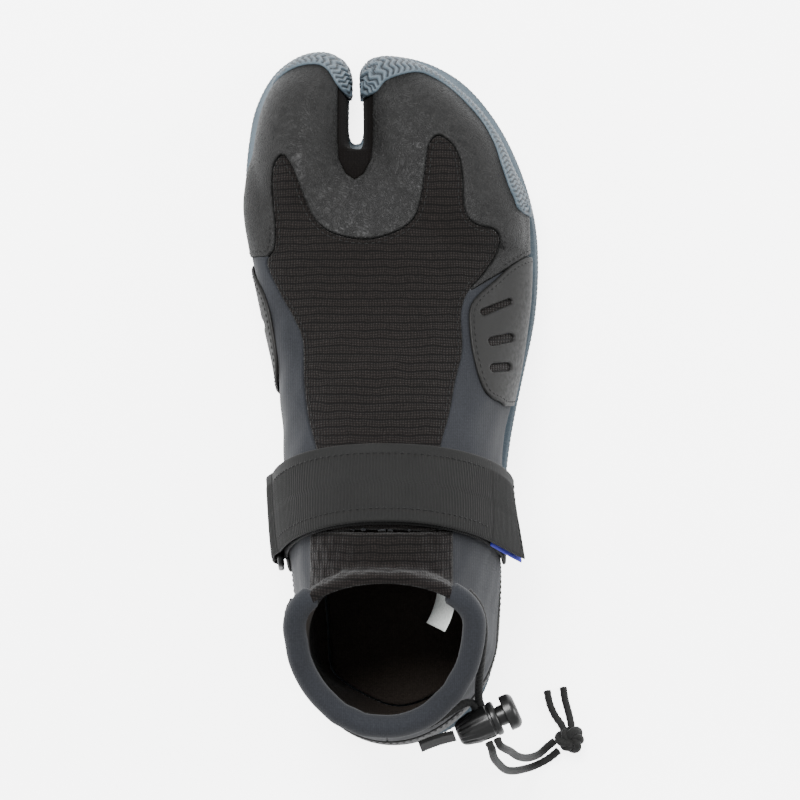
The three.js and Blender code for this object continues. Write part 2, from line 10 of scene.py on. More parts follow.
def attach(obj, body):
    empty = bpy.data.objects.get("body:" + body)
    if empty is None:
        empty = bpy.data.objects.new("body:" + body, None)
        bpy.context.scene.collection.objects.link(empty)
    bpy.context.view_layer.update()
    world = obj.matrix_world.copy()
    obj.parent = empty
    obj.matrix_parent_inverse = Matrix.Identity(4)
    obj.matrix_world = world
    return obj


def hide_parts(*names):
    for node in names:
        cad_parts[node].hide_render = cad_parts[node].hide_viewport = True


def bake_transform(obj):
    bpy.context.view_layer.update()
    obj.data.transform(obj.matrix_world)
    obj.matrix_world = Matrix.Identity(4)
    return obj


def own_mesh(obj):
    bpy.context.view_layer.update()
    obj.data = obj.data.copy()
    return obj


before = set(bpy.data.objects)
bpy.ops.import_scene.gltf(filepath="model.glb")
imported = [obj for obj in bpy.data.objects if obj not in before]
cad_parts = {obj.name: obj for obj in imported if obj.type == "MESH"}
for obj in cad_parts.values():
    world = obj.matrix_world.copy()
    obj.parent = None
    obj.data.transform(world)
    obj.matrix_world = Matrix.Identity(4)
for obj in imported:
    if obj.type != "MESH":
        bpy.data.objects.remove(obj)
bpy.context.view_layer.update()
MM = 0.001

# ---- Studio ----
# The boot stands on a pale board and is seen from straight above, toes up, as on a cutting table.
# Light comes from one large soft panel overhead and two weaker ones low at the sides.
camera_height, view_width = 1.3, 0.328
camera = bpy.data.objects.new("camera", bpy.data.cameras.new("camera"))
camera.data.angle = 2 * math.atan(view_width / 2 / camera_height)
camera.location = (0, 0, camera_height)
bpy.context.collection.objects.link(camera)
bpy.context.scene.camera = camera


def add_mesh(name, points, faces, materials, smooth=True):
    """A mesh object at the origin. Points are in millimetres."""
    mesh = bpy.data.meshes.new(name)
    mesh.from_pydata([tuple(p) for p in np.asarray(points, float) * MM], [], [tuple(map(int, f)) for f in faces])
    for material in materials:
        mesh.materials.append(material)
    mesh.validate()
    if smooth:
        mesh.shade_smooth()
    piece = bpy.data.objects.new(name, mesh)
    bpy.context.collection.objects.link(piece)
    return piece


def add_node(tree, kind, inputs, **settings):
    """A node with its settings. Each input is a value, or the socket that feeds it."""
    made = tree.nodes.new(kind)
    for key, value in settings.items():
        setattr(made, key, value)
    for key, value in inputs.items():
        if isinstance(value, bpy.types.NodeSocket):
            tree.links.new(value, made.inputs[key])
        else:
            made.inputs[key].default_value = value
    return made


board_white = bpy.data.materials.new("pale board")
board_white.use_nodes = True
board_tree = board_white.node_tree
board_shader = board_tree.nodes["Principled BSDF"]
for socket, value in (("Base Color", (0.93, 0.93, 0.93, 1)), ("Roughness", 0.9), ("Emission Color", (1, 1, 1, 1))):
    board_shader.inputs[socket].default_value = value
glow, glow_as_seen = 0.4, 4.0
seen = add_node(board_tree, "ShaderNodeLightPath", {}).outputs["Is Camera Ray"]
board_glow = add_node(board_tree, "ShaderNodeMath", {0: seen, 1: glow_as_seen, 2: glow}, operation="MULTIPLY_ADD")
board_tree.links.new(board_glow.outputs[0], board_shader.inputs["Emission Strength"])
board_reach, board_level = 12000, -0.3
board_corners = [(x * board_reach, y * board_reach, board_level) for x, y in ((-1, -1), (1, -1), (1, 1), (-1, 1))]
add_mesh("floor", board_corners, [(0, 1, 2, 3)], [board_white])
for name, place, aim, size, power in (("overhead panel", (-0.3, 0.75, 1.4), (0, 0, 0.03), 0.8, 46),
                                      ("left panel", (-1.5, -0.2, 0.7), (0, 0, 0.05), 0.7, 14),
                                      ("right panel", (1.4, 0.3, 0.8), (0, 0, 0.05), 0.7, 20)):
    light = bpy.data.lights.new(name, "AREA")
    light.shape, light.size, light.energy = "DISK", size, power
    lamp = bpy.data.objects.new(name, light)
    lamp.location = place
    lamp.rotation_euler = (Vector(aim) - Vector(place)).to_track_quat("-Z", "Y").to_euler()
    bpy.context.collection.objects.link(lamp)
world = bpy.data.worlds.new("studio")
world.use_nodes = True
world.node_tree.nodes["Background"].inputs["Color"].default_value = (0.95, 0.97, 1, 1)
world.node_tree.nodes["Background"].inputs["Strength"].default_value = 0.8
bpy.context.scene.world = world


# ---- The last ----
# The upper is sewn flat and takes the shape of the last it is pulled over, so every panel below is cut from
# this one surface. A slice holds: top Y, top Z, bottom Y, bottom Z, inner X, outer X, X of its top, and the
# share of its height at which it is widest.
body_slices = [
    (101, 30, 101, -1, -57, 39, -17, 0.42), (92, 39, 92, -1, -60, 45, -17, 0.42),
               (78, 45.5, 78, -1, -61.2, 51.2, -16, 0.42),
    (62, 50.5, 62, -1, -58.8, 52.2, -15, 0.42), (44, 55.5, 44, -1, -54.8, 52, -13, 0.42),
    (28, 61.5, 28, -1, -51.5, 50.2, -11, 0.42), (12, 69, 12, -1, -48.2, 47.6, -9, 0.42),
    (-4, 76.5, -1, -1, -46.8, 44.4, -7.5, 0.42), (-20, 84.5, -14, -1, -46, 41.4, -6.5, 0.42),
    (-34, 93.5, -36, -1, -45.2, 40.6, -6, 0.42), (-46, 100, -64, -1, -43.8, 40.2, -5.5, 0.42),
    (-54, 102.8, -92, -1, -41.5, 39.6, -5.5, 0.42), (-58.6, 104, -116, -1, -39.4, 38.8, -5.5, 0.44),
    (-61, 104.6, -131, 10, -38.2, 37.4, -5.5, 0.48), (-62.2, 104.9, -137, 32, -38, 34.6, -5.5, 0.55),
    (-63, 105.1, -134.5, 55, -38.8, 31, -6, 0.62), (-63.5, 105.3, -129.5, 76, -40, 29.4, -6, 0.68),
]
topline_front = np.array([-65, 110.0])
topline_back = np.array([-125.5, 97.0])
topline_run = (topline_back - topline_front) / np.linalg.norm(topline_back - topline_front)
topline_rise = np.array([topline_run[1], -topline_run[0]])


def rim_slice(height):
    front = topline_front + topline_rise * height
    back = topline_back + topline_rise * height
    return (*front, *back, -41.2, 29.6, -6, 0.68)


def toe_slice(y, top, inner_x, outer_x):
    return (y, top, y, -1, inner_x, outer_x, (inner_x + outer_x) / 2, 0.42)


big_toe_slices = [toe_slice(*s) for s in [
    (66, 44, -57.5, -14), (84, 44, -60, -17.5), (98, 42, -59, -19.8), (109, 39, -57.6, -20.6),
                                          (118, 35.5, -55.4, -20.8),
    (126, 31, -52, -21), (133, 24.5, -46.5, -21.8), (137, 19, -41.5, -24.5), (139.2, 13.5, -37, -29)]]
small_toes_slices = [toe_slice(*s) for s in [
    (62, 46, -24, 51), (78, 45, -20, 49.5), (92, 42, -16, 44.5), (101, 39.5, -15.2, 40.8), (110, 36, -15.2, 35.8),
    (119, 31.5, -15.2, 28.8), (127, 26.5, -15.1, 20), (133, 21.5, -14.4, 11.6), (136.4, 16.5, -12.4, 4.2),
    (137.8, 12, -10, -2)]]


def curve(p0, p1, p2, p3, f):
    """The smooth curve from p1 to p2, which heads on from p0 and towards p3."""
    return 0.5 * (2 * p1 + (p2 - p0) * f + (2 * p0 - 5 * p1 + 4 * p2 - p3) * f**2
                  + (3 * p1 - p0 - 3 * p2 + p3) * f**3)


def between(rows, count):
    """More rows on a smooth curve through the given ones."""
    rows = np.array(rows, float)
    t = np.linspace(0, len(rows) - 1, count)
    i = np.clip(t.astype(int), 0, len(rows) - 2)
    return curve(rows[np.maximum(i - 1, 0)], rows[i], rows[i + 1], rows[np.minimum(i + 2, len(rows) - 1)],
                 (t - i)[:, None])


def slice_ring(row, count):
    top_y, top_z, bottom_y, bottom_z, inner_x, outer_x, top_x, widest = row
    angle = np.linspace(0, 2 * np.pi, count, endpoint=False)
    c, s = np.cos(angle), np.sin(angle)
    flat = np.clip((5 - bottom_z) / 6, 0, 1)
    lower = 0.6 * flat + (1 - flat)
    upper = np.clip(0.92 + 0.08 * (widest - 0.44) / 0.1, 0.92, 1)
    power = np.where(s < 0, lower, upper)
    out = np.sign(c) * np.abs(c) ** power
    rise = np.sign(s) * np.abs(s) ** power
    height = widest + rise * np.where(rise > 0, 1 - widest, widest)
    middle, half = (inner_x + outer_x) / 2, (outer_x - inner_x) / 2
    x = middle + half * out + (top_x - middle) * np.maximum(0, rise)
    return np.stack([x, bottom_y + (top_y - bottom_y) * height, bottom_z + (top_z - bottom_z) * height], 1)


def ring_faces(rings, sides, closed=False):
    """Four-sided faces that join each ring of points to the next."""
    faces = []
    for r in range(rings if closed else rings - 1):
        here, there = r * sides, (r + 1) % rings * sides
        for i in range(sides):
            ahead = (i + 1) % sides
            faces.append((here + i, here + ahead, there + ahead, there + i))
    return faces


def closed_loft(rows):
    """Points and faces of a solid through a row of slices."""
    count = 96
    rings = [slice_ring(row, count) for row in rows]
    points = [p for ring in rings for p in ring]
    faces = ring_faces(len(rings), count)
    for r, turn in ((0, -1), (len(rings) - 1, 1)):
        hub = len(points)
        points.append(rings[r].mean(0))
        faces += [(hub, r * count + i, r * count + (i + 1) % count)[::turn] for i in range(count)]
    return points, faces


def shape_last():
    """The last's surface as points, triangles and outward normals."""
    grain, rounds = 1.25, 14
    parts = [closed_loft(between(body_slices + [rim_slice(0), rim_slice(22)], 130)),
             closed_loft(between(big_toe_slices, 60)), closed_loft(between(small_toes_slices, 60))]
    points, faces = [], []
    for part_points, part_faces in parts:
        start = len(points)
        points += list(part_points)
        faces += [tuple(start + i for i in face) for face in part_faces]
    block = add_mesh("last", points, faces, [])
    remesh = block.modifiers.new("remesh", "REMESH")
    remesh.mode = "VOXEL"
    remesh.voxel_size = grain * MM
    smooth = block.modifiers.new("smooth", "SMOOTH")
    smooth.factor = 0.5
    smooth.iterations = rounds
    triangles = block.modifiers.new("triangles", "TRIANGULATE")
    triangles.quad_method = "SHORTEST_DIAGONAL"
    shaped = block.evaluated_get(bpy.context.evaluated_depsgraph_get()).to_mesh()
    n = len(shaped.vertices)
    place, normal = np.zeros(n * 3), np.zeros(n * 3)
    shaped.vertices.foreach_get("co", place)
    shaped.vertices.foreach_get("normal", normal)
    corners = np.zeros(len(shaped.polygons) * 3, int)
    shaped.polygons.foreach_get("vertices", corners)
    bpy.data.objects.remove(block)
    return place.reshape(-1, 3) / MM, corners.reshape(-1, 3), normal.reshape(-1, 3)


last_points, last_faces, last_normals = shape_last()
last_tree = BVHTree.FromPolygons([tuple(p) for p in last_points], [tuple(map(int, f)) for f in last_faces])


def outline(points, steps=8):
    """A smooth closed outline through a few points."""
    points = np.array(points, float)
    around = [np.roll(points, shift, 0) for shift in (1, 0, -1, -2)]
    return np.stack([curve(*around, f) for f in np.linspace(0, 1, steps, endpoint=False)], 1).reshape(-1, 2)


def inside_distance(places, edge):
    """How far each 2-D place lies inside a closed outline, negative outside."""
    best = np.full(len(places), 1e9)
    crossings = np.zeros(len(places), int)
    for a, b in zip(edge, np.roll(edge, -1, 0)):
        run = b - a
        share = np.clip(((places - a) @ run) / max(run @ run, 1e-12), 0, 1)
        best = np.minimum(best, np.linalg.norm(places - a - share[:, None] * run, axis=1))
        spans = (a[1] > places[:, 1]) != (b[1] > places[:, 1])
        if a[1] != b[1]:
            x = a[0] + (places[:, 1] - a[1]) * run[0] / run[1]
            crossings += spans & (places[:, 0] < x)
    return np.where(crossings % 2 == 1, best, -best)


class Surface:
    """Points, triangles and normals of a piece of the last, with a distance field for each outline."""

    def __init__(self, points, faces, normals):
        self.points, self.faces, self.normals = points, faces, normals

    def along(self, field):
        """The field's distances as measured along the surface instead of across the pattern."""
        corner = self.points[self.faces]
        e1, e2 = corner[:, 1] - corner[:, 0], corner[:, 2] - corner[:, 0]
        normal = np.cross(e1, e2)
        area2 = np.maximum((normal**2).sum(1), 1e-12)
        value = field[self.faces]
        slope = (np.cross(normal, e1) * (value[:, 2] - value[:, 0])[:, None]
                 - np.cross(normal, e2) * (value[:, 1] - value[:, 0])[:, None]) / area2[:, None]
        steep = np.linalg.norm(slope, axis=1) * np.sqrt(area2)
        total, weight = np.zeros(len(field)), np.zeros(len(field))
        for k in range(3):
            np.add.at(total, self.faces[:, k], steep)
            np.add.at(weight, self.faces[:, k], np.sqrt(area2))
        return field / np.maximum(total / np.maximum(weight, 1e-9), 0.35)

    def split(self, field, level):
        """The same surface with an edge loop where the field crosses level, and the field on its points."""
        value = field - level
        value = np.where(np.abs(value) < 0.02, 0.0, value)
        points, normals, values, faces = list(self.points), list(self.normals), list(field), []
        sign = np.sign(value)
        made = {}

        def cross(a, b):
            key = (min(a, b), max(a, b))
            if key not in made:
                f = value[a] / (value[a] - value[b])
                points.append(self.points[a] * (1 - f) + self.points[b] * f)
                normals.append(self.normals[a] * (1 - f) + self.normals[b] * f)
                values.append(level)
                made[key] = len(points) - 1
            return made[key]

        mixed = (sign[self.faces].min(1) < 0) & (sign[self.faces].max(1) > 0)
        for face in self.faces[mixed]:
            s = sign[face]
            if (s == 0).any():
                k = int(np.argmax(s == 0))
                a, b, c = face[k], face[(k + 1) % 3], face[(k + 2) % 3]
                m = cross(b, c)
                faces += [(a, b, m), (a, m, c)]
            else:
                k = int(np.argmax(s != np.sign(s.sum())))
                a, b, c = face[k], face[(k + 1) % 3], face[(k + 2) % 3]
                p, q = cross(a, b), cross(a, c)
                faces += [(a, p, q), (p, b, c), (p, c, q)]
        faces = np.concatenate([self.faces[~mixed], np.array(faces, int).reshape(-1, 3)])
        return Surface(np.array(points), faces, np.array(normals)), np.array(values)

    def keep(self, field):
        """Only the triangles whose middle lies inside the field."""
        faces = self.faces[field[self.faces].mean(1) > 0]
        used, faces = np.unique(faces, return_inverse=True)
        return Surface(self.points[used], faces.reshape(-1, 3), self.normals[used]), used

    def finer(self):
        """The same surface with each triangle cut into four."""
        edges = np.concatenate([self.faces[:, [0, 1]], self.faces[:, [1, 2]], self.faces[:, [2, 0]]])
        pairs, which = np.unique(np.sort(edges, 1), axis=0, return_inverse=True)
        n, count = len(self.points), len(self.faces)
        middle = which.reshape(3, count) + n
        a, b, c = self.faces.T
        ab, bc, ca = middle
        faces = np.concatenate([np.stack(t, 1) for t in ((a, ab, ca), (b, bc, ab), (c, ca, bc), (ab, bc, ca))])
        points = np.concatenate([self.points, self.points[pairs].mean(1)])
        return Surface(points, faces, np.concatenate([self.normals, self.normals[pairs].mean(1)]))

    def contour(self, field, level):
        """The lines along which a field has one value, each as rows of a point and a normal."""
        value = field - level + 1e-7
        over = value[self.faces] > 0
        mixed = self.faces[(over.sum(1) > 0) & (over.sum(1) < 3)]
        next_to = {}
        for face in mixed:
            ends = [tuple(sorted((face[k], face[(k + 1) % 3]))) for k in range(3)
                    if (value[face[k]] > 0) != (value[face[(k + 1) % 3]] > 0)]
            next_to.setdefault(ends[0], []).append(ends[1])
            next_to.setdefault(ends[1], []).append(ends[0])

        def row(end):
            a, b = end
            f = value[a] / (value[a] - value[b])
            normal = self.normals[a] * (1 - f) + self.normals[b] * f
            return (*(self.points[a] * (1 - f) + self.points[b] * f), *(normal / max(np.linalg.norm(normal), 1e-9)))

        lines, left = [], dict.fromkeys(sorted(next_to, key=lambda end: (len(next_to[end]), end)))
        while left:
            end = next(iter(left))
            line = []
            while end is not None:
                del left[end]
                line.append(row(end))
                end = next((other for other in next_to[end] if other in left), None)
            lines.append(np.array(line))
        return [line for line in lines if len(line) > 4]

    def rim(self):
        """The edges that belong to one triangle only."""
        edges = np.concatenate([self.faces[:, [0, 1]], self.faces[:, [1, 2]], self.faces[:, [2, 0]]])
        have = {(a, b) for a, b in edges}
        return [(a, b) for a, b in have if (b, a) not in have]


last = Surface(last_points, last_faces, last_normals)


def cut_panel(field, edge_levels=(0.25, 0.7, 1.4), surface=None):
    """The part of a surface inside a field, with loops along its edge, and how far in each point lies."""
    piece, value = (surface or last).split(field, 0)
    for level in edge_levels:
        piece, value = piece.split(value, level)
    piece, used = piece.keep(value)
    return piece, np.maximum(value[used], 0)


def sew_panel(name, piece, depth_in, top, thickness, roll, materials, rib=None):
    """A panel of sheet: its face stands top above the last with a rounded edge, and thickness is below that."""
    length = np.linalg.norm(piece.normals, axis=1, keepdims=True)
    normal = piece.normals / np.maximum(length, 1e-9)
    share = np.clip(depth_in / roll, 0, 1)
    round_edge = np.sqrt(np.maximum(0, 1 - (1 - share) ** 2))
    drop = min(roll, 0.8 * thickness) * (1 - round_edge)
    height = top - drop + (rib if rib is not None else 0)
    outer = piece.points + normal * height[:, None]
    inner = piece.points + normal * (top - thickness)
    n = len(outer)
    faces = [tuple(f) for f in piece.faces] + [tuple(f[::-1] + n) for f in piece.faces]
    faces += [(b, a, a + n, b + n) for a, b in piece.rim()]
    made = add_mesh(name, np.concatenate([outer, inner]), faces, materials)
    slots = np.zeros(len(made.data.polygons), int)
    slots[len(piece.faces):2 * len(piece.faces)] = len(materials) - 1
    made.data.polygons.foreach_set("material_index", slots)
    return made


tall_last = last
sole_line, rim_height = 5.3, -4.8
below_rim = rim_height - ((last.points[:, 1:] - topline_front) @ topline_rise)
last, trim = last.split(np.minimum(last.points[:, 2] - sole_line, below_rim), 0)
last, _ = last.keep(trim)

# ---- Pattern ----
# The pieces of neoprene and knit that make up the upper, as flat outlines drawn from above, or from the side
# for the heel counter. They meet edge to edge on the last, where they are glued and then stitched.
instep_edge = outline([
    (-47, 97.5), (-43.5, 94), (-40, 86), (-35.6, 75), (-30, 68), (-22, 64.6), (-14, 63.6), (-7, 64.6),
                       (1, 68), (6, 73),
    (8.4, 81), (10, 92.5), (11.4, 101.5), (15, 105.6), (20, 103), (23.5, 97.5), (25, 89), (25.3, 79), (27, 72.5),
    (31, 69.4), (37.2, 68), (40, 64), (38.5, 58), (33, 50), (27, 42.6), (24.4, 34), (24.8, 20), (22, 8), (19.5, -5),
    (15.7, -19), (15, -34), (15, -48.4), (0, -48.4), (-15, -48.4), (-30, -48.4), (-31, -34), (-32, -22), (-36, -7),
    (-38, 8), (-38.5, 23), (-42, 32), (-48, 42.5), (-53.2, 54), (-50.2, 60), (-49.7, 69), (-51.2, 84), (-50.6, 93)])
toe_edge = np.array([(-90, 57), (-52, 57), (0, 50), (27.5, 43), (40, 50.5), (52, 58.5), (90, 64), (90, 170),
                     (-90, 170)], float)
toe_gap_edge = np.array([(-25, 125.6), (-25, 104), (-24.4, 96), (-21.5, 90), (-18, 87.6), (-14.5, 90),
                         (-11.6, 96), (-11, 104),
                         (-11, 125.6)], float)
throat_edge = np.array([(-33.6, -49), (19.7, -49), (19.7, -84), (-33.6, -84)], float)
counter_edge = outline([(-56, -9), (-60, 22), (-70, 38), (-90, 50), (-112, 56), (-140, 59), (-170, 60),
                        (-170, -9)], 4)

seen_from_above, seen_from_side = last.points[:, :2], last.points[:, 1:]
in_instep = np.minimum(last.along(inside_distance(seen_from_above, instep_edge)), last.points[:, 2] - 22)
in_gusset = inside_distance(seen_from_above, toe_gap_edge)
in_toe = np.minimum.reduce([last.along(inside_distance(seen_from_above, toe_edge)), -in_instep, -in_gusset])
in_throat = np.minimum(last.along(inside_distance(seen_from_above, throat_edge)), last.points[:, 2] - 80)
in_counter = last.along(inside_distance(seen_from_side, counter_edge))
in_quarters = -np.maximum.reduce([in_instep, in_toe, in_throat, in_counter, in_gusset])
back_seam = -5


# ---- Outsole ----
# Blue-grey rubber moulded in one piece with a split at the big toe, glued to the upper's lasted edge.
# The side has a moulded groove and slanted ribs, with shade painted dark into the hollows between the ribs; the
# tread is rows of zigzag bars.
class Finish:
    """A Principled material whose nodes read Object coordinates. Sizes are given in millimetres."""

    def __init__(self, name, roughness, sheen=0.0, specular=0.5, metallic=0.0):
        self.material = bpy.data.materials.new(name)
        self.material.use_nodes = True
        self.tree = self.material.node_tree
        self.shader = self.tree.nodes["Principled BSDF"]
        for socket, value in (("Roughness", roughness), ("Sheen Weight", sheen), ("Sheen Roughness", 0.5),
                              ("Specular IOR Level", specular), ("Metallic", metallic)):
            self.shader.inputs[socket].default_value = value
        self.object = self.node("ShaderNodeTexCoord", {}).outputs["Object"]

    def node(self, kind, inputs, **settings):
        return add_node(self.tree, kind, inputs, **settings)

    def noise(self, per_mm, detail=2.0, output="Fac"):
        return self.node("ShaderNodeTexNoise",
                         {"Vector": self.object, "Scale": per_mm / MM, "Detail": detail}).outputs[output]

    def bent(self, per_mm, detail, amount):
        """The Object coordinates with soft bends of up to an amount."""
        shift = self.node("ShaderNodeVectorMath", {0: self.noise(per_mm, detail, "Color"), 1: amount},
                          operation="MULTIPLY")
        return self.node("ShaderNodeVectorMath", {0: self.object, 1: shift.outputs[0]}).outputs[0]

    def bands(self, direction, per_mm, place, **inputs):
        made = self.node("ShaderNodeTexWave", {"Vector": place, "Scale": per_mm / MM}, bands_direction=direction)
        for key, value in inputs.items():
            made.inputs[key.replace("_", " ")].default_value = value
        return made.outputs["Fac"]

    def mix(self, share, low, high):
        low, high = (end if isinstance(end, bpy.types.NodeSocket) else (*end, 1) for end in (low, high))
        return self.node("ShaderNodeMix", {0: share, 6: low, 7: high}, data_type="RGBA").outputs[2]

    def maths(self, operation, a, b):
        return self.node("ShaderNodeMath", {0: a, 1: b}, operation=operation).outputs[0]

    def ramp(self, value, low, high):
        return self.node("ShaderNodeMapRange", {0: value, 1: low, 2: high}).outputs[0]

    def colour(self, share, low, high):
        self.tree.links.new(self.mix(share, low, high), self.shader.inputs["Base Color"])

    def roughness(self, value, low, high):
        self.tree.links.new(self.ramp(value, low, high), self.shader.inputs["Roughness"])

    def relief(self, height, depth_mm, strength):
        """Bump of a given depth; later calls go under earlier ones."""
        bump = self.node("ShaderNodeBump", {"Height": height, "Distance": depth_mm * MM, "Strength": strength})
        top = self.shader
        while top.inputs["Normal"].is_linked:
            top = top.inputs["Normal"].links[0].from_node
        self.tree.links.new(bump.outputs[0], top.inputs["Normal"])


sole_finish = Finish("blue-grey sole rubber", 0.55, specular=0.3)
cloud = sole_finish.ramp(sole_finish.noise(0.05, 3), 0.35, 0.65)
dust = sole_finish.ramp(sole_finish.noise(2.5), 0.4, 0.75)
sole_face = sole_finish.mix(cloud, (0.055, 0.078, 0.096), (0.075, 0.102, 0.124))
# Painted shade: where the groove attribute is high, in the hollows between ribs, the colour turns almost black as
# if shade fell there.
groove_shade = sole_finish.node("ShaderNodeAttribute", {}, attribute_name="groove").outputs["Fac"]
sole_finish.colour(groove_shade, sole_finish.mix(dust, sole_face, (0.105, 0.132, 0.152)), (0.012, 0.016, 0.02))
sole_finish.roughness(dust, -1.4, 2.2)
sole_finish.relief(sole_finish.noise(3.0), 0.06, 0.5)
rubber_blue = sole_finish.material


def even_spacing(points, step, closed=False):
    """The same polyline with points a fixed step apart."""
    points = np.asarray(points, float)
    if closed:
        points = np.concatenate([points, points[:1]])
    run = np.concatenate([[0], np.cumsum(np.linalg.norm(np.diff(points, axis=0), axis=1))])
    marks = np.linspace(0, run[-1], max(2, int(round(run[-1] / step))) + 1)
    if closed:
        marks = marks[:-1]
    return np.stack([np.interp(marks, run, points[:, k]) for k in range(points.shape[1])], 1)


def outwards_of(edge):
    """The unit directions square to a closed outline that runs anticlockwise."""
    out = (np.roll(edge, -1, 0) - np.roll(edge, 1, 0))[:, ::-1] * (1, -1)
    return out / np.linalg.norm(out, axis=1, keepdims=True)


def zigzag(x, wave):
    """A triangle wave from -1 to 1."""
    return 4 * np.abs((x / wave) % 1 - 0.5) - 1


def paint_groove_shade(piece, depth):
    """Stores how deep in a groove each point lies; the rubber's colour reads it and paints shade dark into the
    grooves.
    """
    values = np.zeros(len(piece.data.vertices))
    values[:len(depth)] = depth
    piece.data.attributes.new("groove", "FLOAT", "POINT").data.foreach_set("value", values.astype(np.float32))


def face_outwards(piece):
    """Turns a closed piece's faces so that they point outwards."""
    shape = bmesh.new()
    shape.from_mesh(piece.data)
    if shape.calc_volume(signed=True) < 0:
        bmesh.ops.reverse_faces(shape, faces=shape.faces)
        shape.to_mesh(piece.data)
    shape.free()
    return piece


def finish_piece(piece, slot, *nodes, body="boot"):
    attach(piece, body)
    if nodes:
        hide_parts(*nodes)


def mesh_of(piece):
    """The piece's mesh with its modifiers applied; they are removed from the piece."""
    mesh = bpy.data.meshes.new_from_object(piece.evaluated_get(bpy.context.evaluated_depsgraph_get()))
    piece.modifiers.clear()
    return mesh


sole_height, tread_depth, edge_step = 5.0, 1.3, 0.5
sole_edge = outline([
    (-20.8, 109), (-20.8, 130), (-24, 138), (-31, 141.4), (-41, 139.6), (-51, 132), (-58, 119), (-61, 104),
                     (-62.2, 88),
    (-61.4, 70), (-57, 48), (-48, 24), (-41, 2), (-37, -22), (-36, -50), (-36.5, -80), (-36, -100), (-31, -120),
    (-18, -134), (1, -138), (20, -134), (33, -120), (38.4, -100), (39.6, -76), (41, -50), (43.6, -20), (48, 8),
    (53, 36), (54.8, 60), (53, 78), (47, 97), (38, 114), (26, 128), (12, 136.4), (-3, 139.8), (-11, 138.4),
    (-15, 131), (-15, 109), (-17.9, 104.6)], 12)
sole_edge = even_spacing(sole_edge, edge_step, closed=True)
sole_out = outwards_of(sole_edge)
# A lip all round, wider at the outer ball of the foot, and none in the notch between the toes.
sole_lip = 0.9 + 1.6 * np.exp(-(((sole_edge[:, 1] - 30) / 34) ** 2)) * (sole_edge[:, 0] > 0)
in_notch = (sole_edge[:, 0] > -25) & (sole_edge[:, 0] < -12) & (sole_edge[:, 1] > 98)
sole_edge += sole_out * np.where(in_notch, 0, sole_lip)[:, None]
side_rib_pitch, side_rib_height, side_groove = 2.1, 0.45, 0.25
sole_run = np.arange(len(sole_edge)) * edge_step
# Each row: how far in from the edge, height, and whether it is ribbed.
sole_profile = [(4.5, tread_depth, 0), (1.4, tread_depth, 0), (0.5, tread_depth + 0.3, 0), (0.2, 1.9, 1),
                (0.1, 2.4, 1),
                (0.1, 2.9, 1), (0.1, 3.4, 1), (0.2, 3.9, 1), (0.35, 4.3, 1), (0.8, 4.75, 0), (1.6, sole_height, 0),
                (4.5, sole_height, 0)]
sole_rings, sole_groove_shade = [], []
for inset, height, ribbed in sole_profile:
    ridge_wave = 0.5 * np.cos(2 * np.pi * (sole_run + 0.8 * zigzag(height, 2.6)) / side_rib_pitch)
    rib = ribbed * (side_rib_height * (0.5 + ridge_wave) - side_groove)
    sole_rings += [(x, y, height) for x, y in sole_edge - sole_out * (inset - rib)[:, None]]
    # How deep in a rib's hollow each point lies, where the rubber's colour paints shade.
    sole_groove_shade.append(ribbed * (0.5 - ridge_wave) ** 2)
edge_count = len(sole_edge)
sole_faces = ring_faces(len(sole_profile), edge_count)
sole_faces += [tuple(range(edge_count))[::-1], tuple(range(len(sole_rings) - edge_count, len(sole_rings)))]
outsole = face_outwards(add_mesh("outsole_rubber", sole_rings, sole_faces, [rubber_blue]))
paint_groove_shade(outsole, np.concatenate(sole_groove_shade))
finish_piece(outsole, "sole_rubber", "outsole")


def copies(name, pattern, places, turns, material, body, slot):
    """One mesh of copies of a small pattern mesh, made by Geometry Nodes at given places and turns."""
    cloud = bpy.data.meshes.new(name + " places")
    cloud.from_pydata([tuple(np.asarray(p, float) * MM) for p in places], [], [])
    turn = cloud.attributes.new("turn", "FLOAT_VECTOR", "POINT")
    turn.data.foreach_set("vector", np.asarray(turns, float).ravel())
    carrier = bpy.data.objects.new(name + " carrier", cloud)
    bpy.context.collection.objects.link(carrier)
    tree = bpy.data.node_groups.new(name + " copies", "GeometryNodeTree")
    asked = {}
    for label, kind, value in (("Geometry", "Geometry", None), ("Copied piece", "Object", pattern),
                               ("Scale", "Float", 1.0), ("Finish", "Material", material)):
        socket = tree.interface.new_socket(label, in_out="INPUT", socket_type="NodeSocket" + kind)
        asked[socket.identifier] = value
    tree.interface.new_socket("Geometry", in_out="OUTPUT", socket_type="NodeSocketGeometry")
    given = tree.nodes.new("NodeGroupInput").outputs
    copied = add_node(tree, "GeometryNodeObjectInfo", {"Object": given["Copied piece"]}).outputs["Geometry"]
    turned = add_node(tree, "GeometryNodeInputNamedAttribute", {"Name": "turn"}, data_type="FLOAT_VECTOR")
    spread = add_node(tree, "GeometryNodeInstanceOnPoints", {
        "Points": given["Geometry"], "Instance": copied, "Rotation": turned.outputs["Attribute"],
                                                             "Scale": given["Scale"]})
    real = add_node(tree, "GeometryNodeRealizeInstances", {0: spread.outputs[0]})
    painted = add_node(tree, "GeometryNodeSetMaterial", {"Geometry": real.outputs[0], "Material": given["Finish"]})
    add_node(tree, "NodeGroupOutput", {0: painted.outputs[0]})
    modifier = carrier.modifiers.new("copies", "NODES")
    modifier.node_group = tree
    for identifier, value in asked.items():
        if value is not None:
            modifier[identifier] = value
    result = mesh_of(carrier)
    bpy.data.objects.remove(carrier)
    result.name = name
    piece = bpy.data.objects.new(name, result)
    bpy.context.collection.objects.link(piece)
    result.shade_smooth()
    finish_piece(piece, slot, body=body)


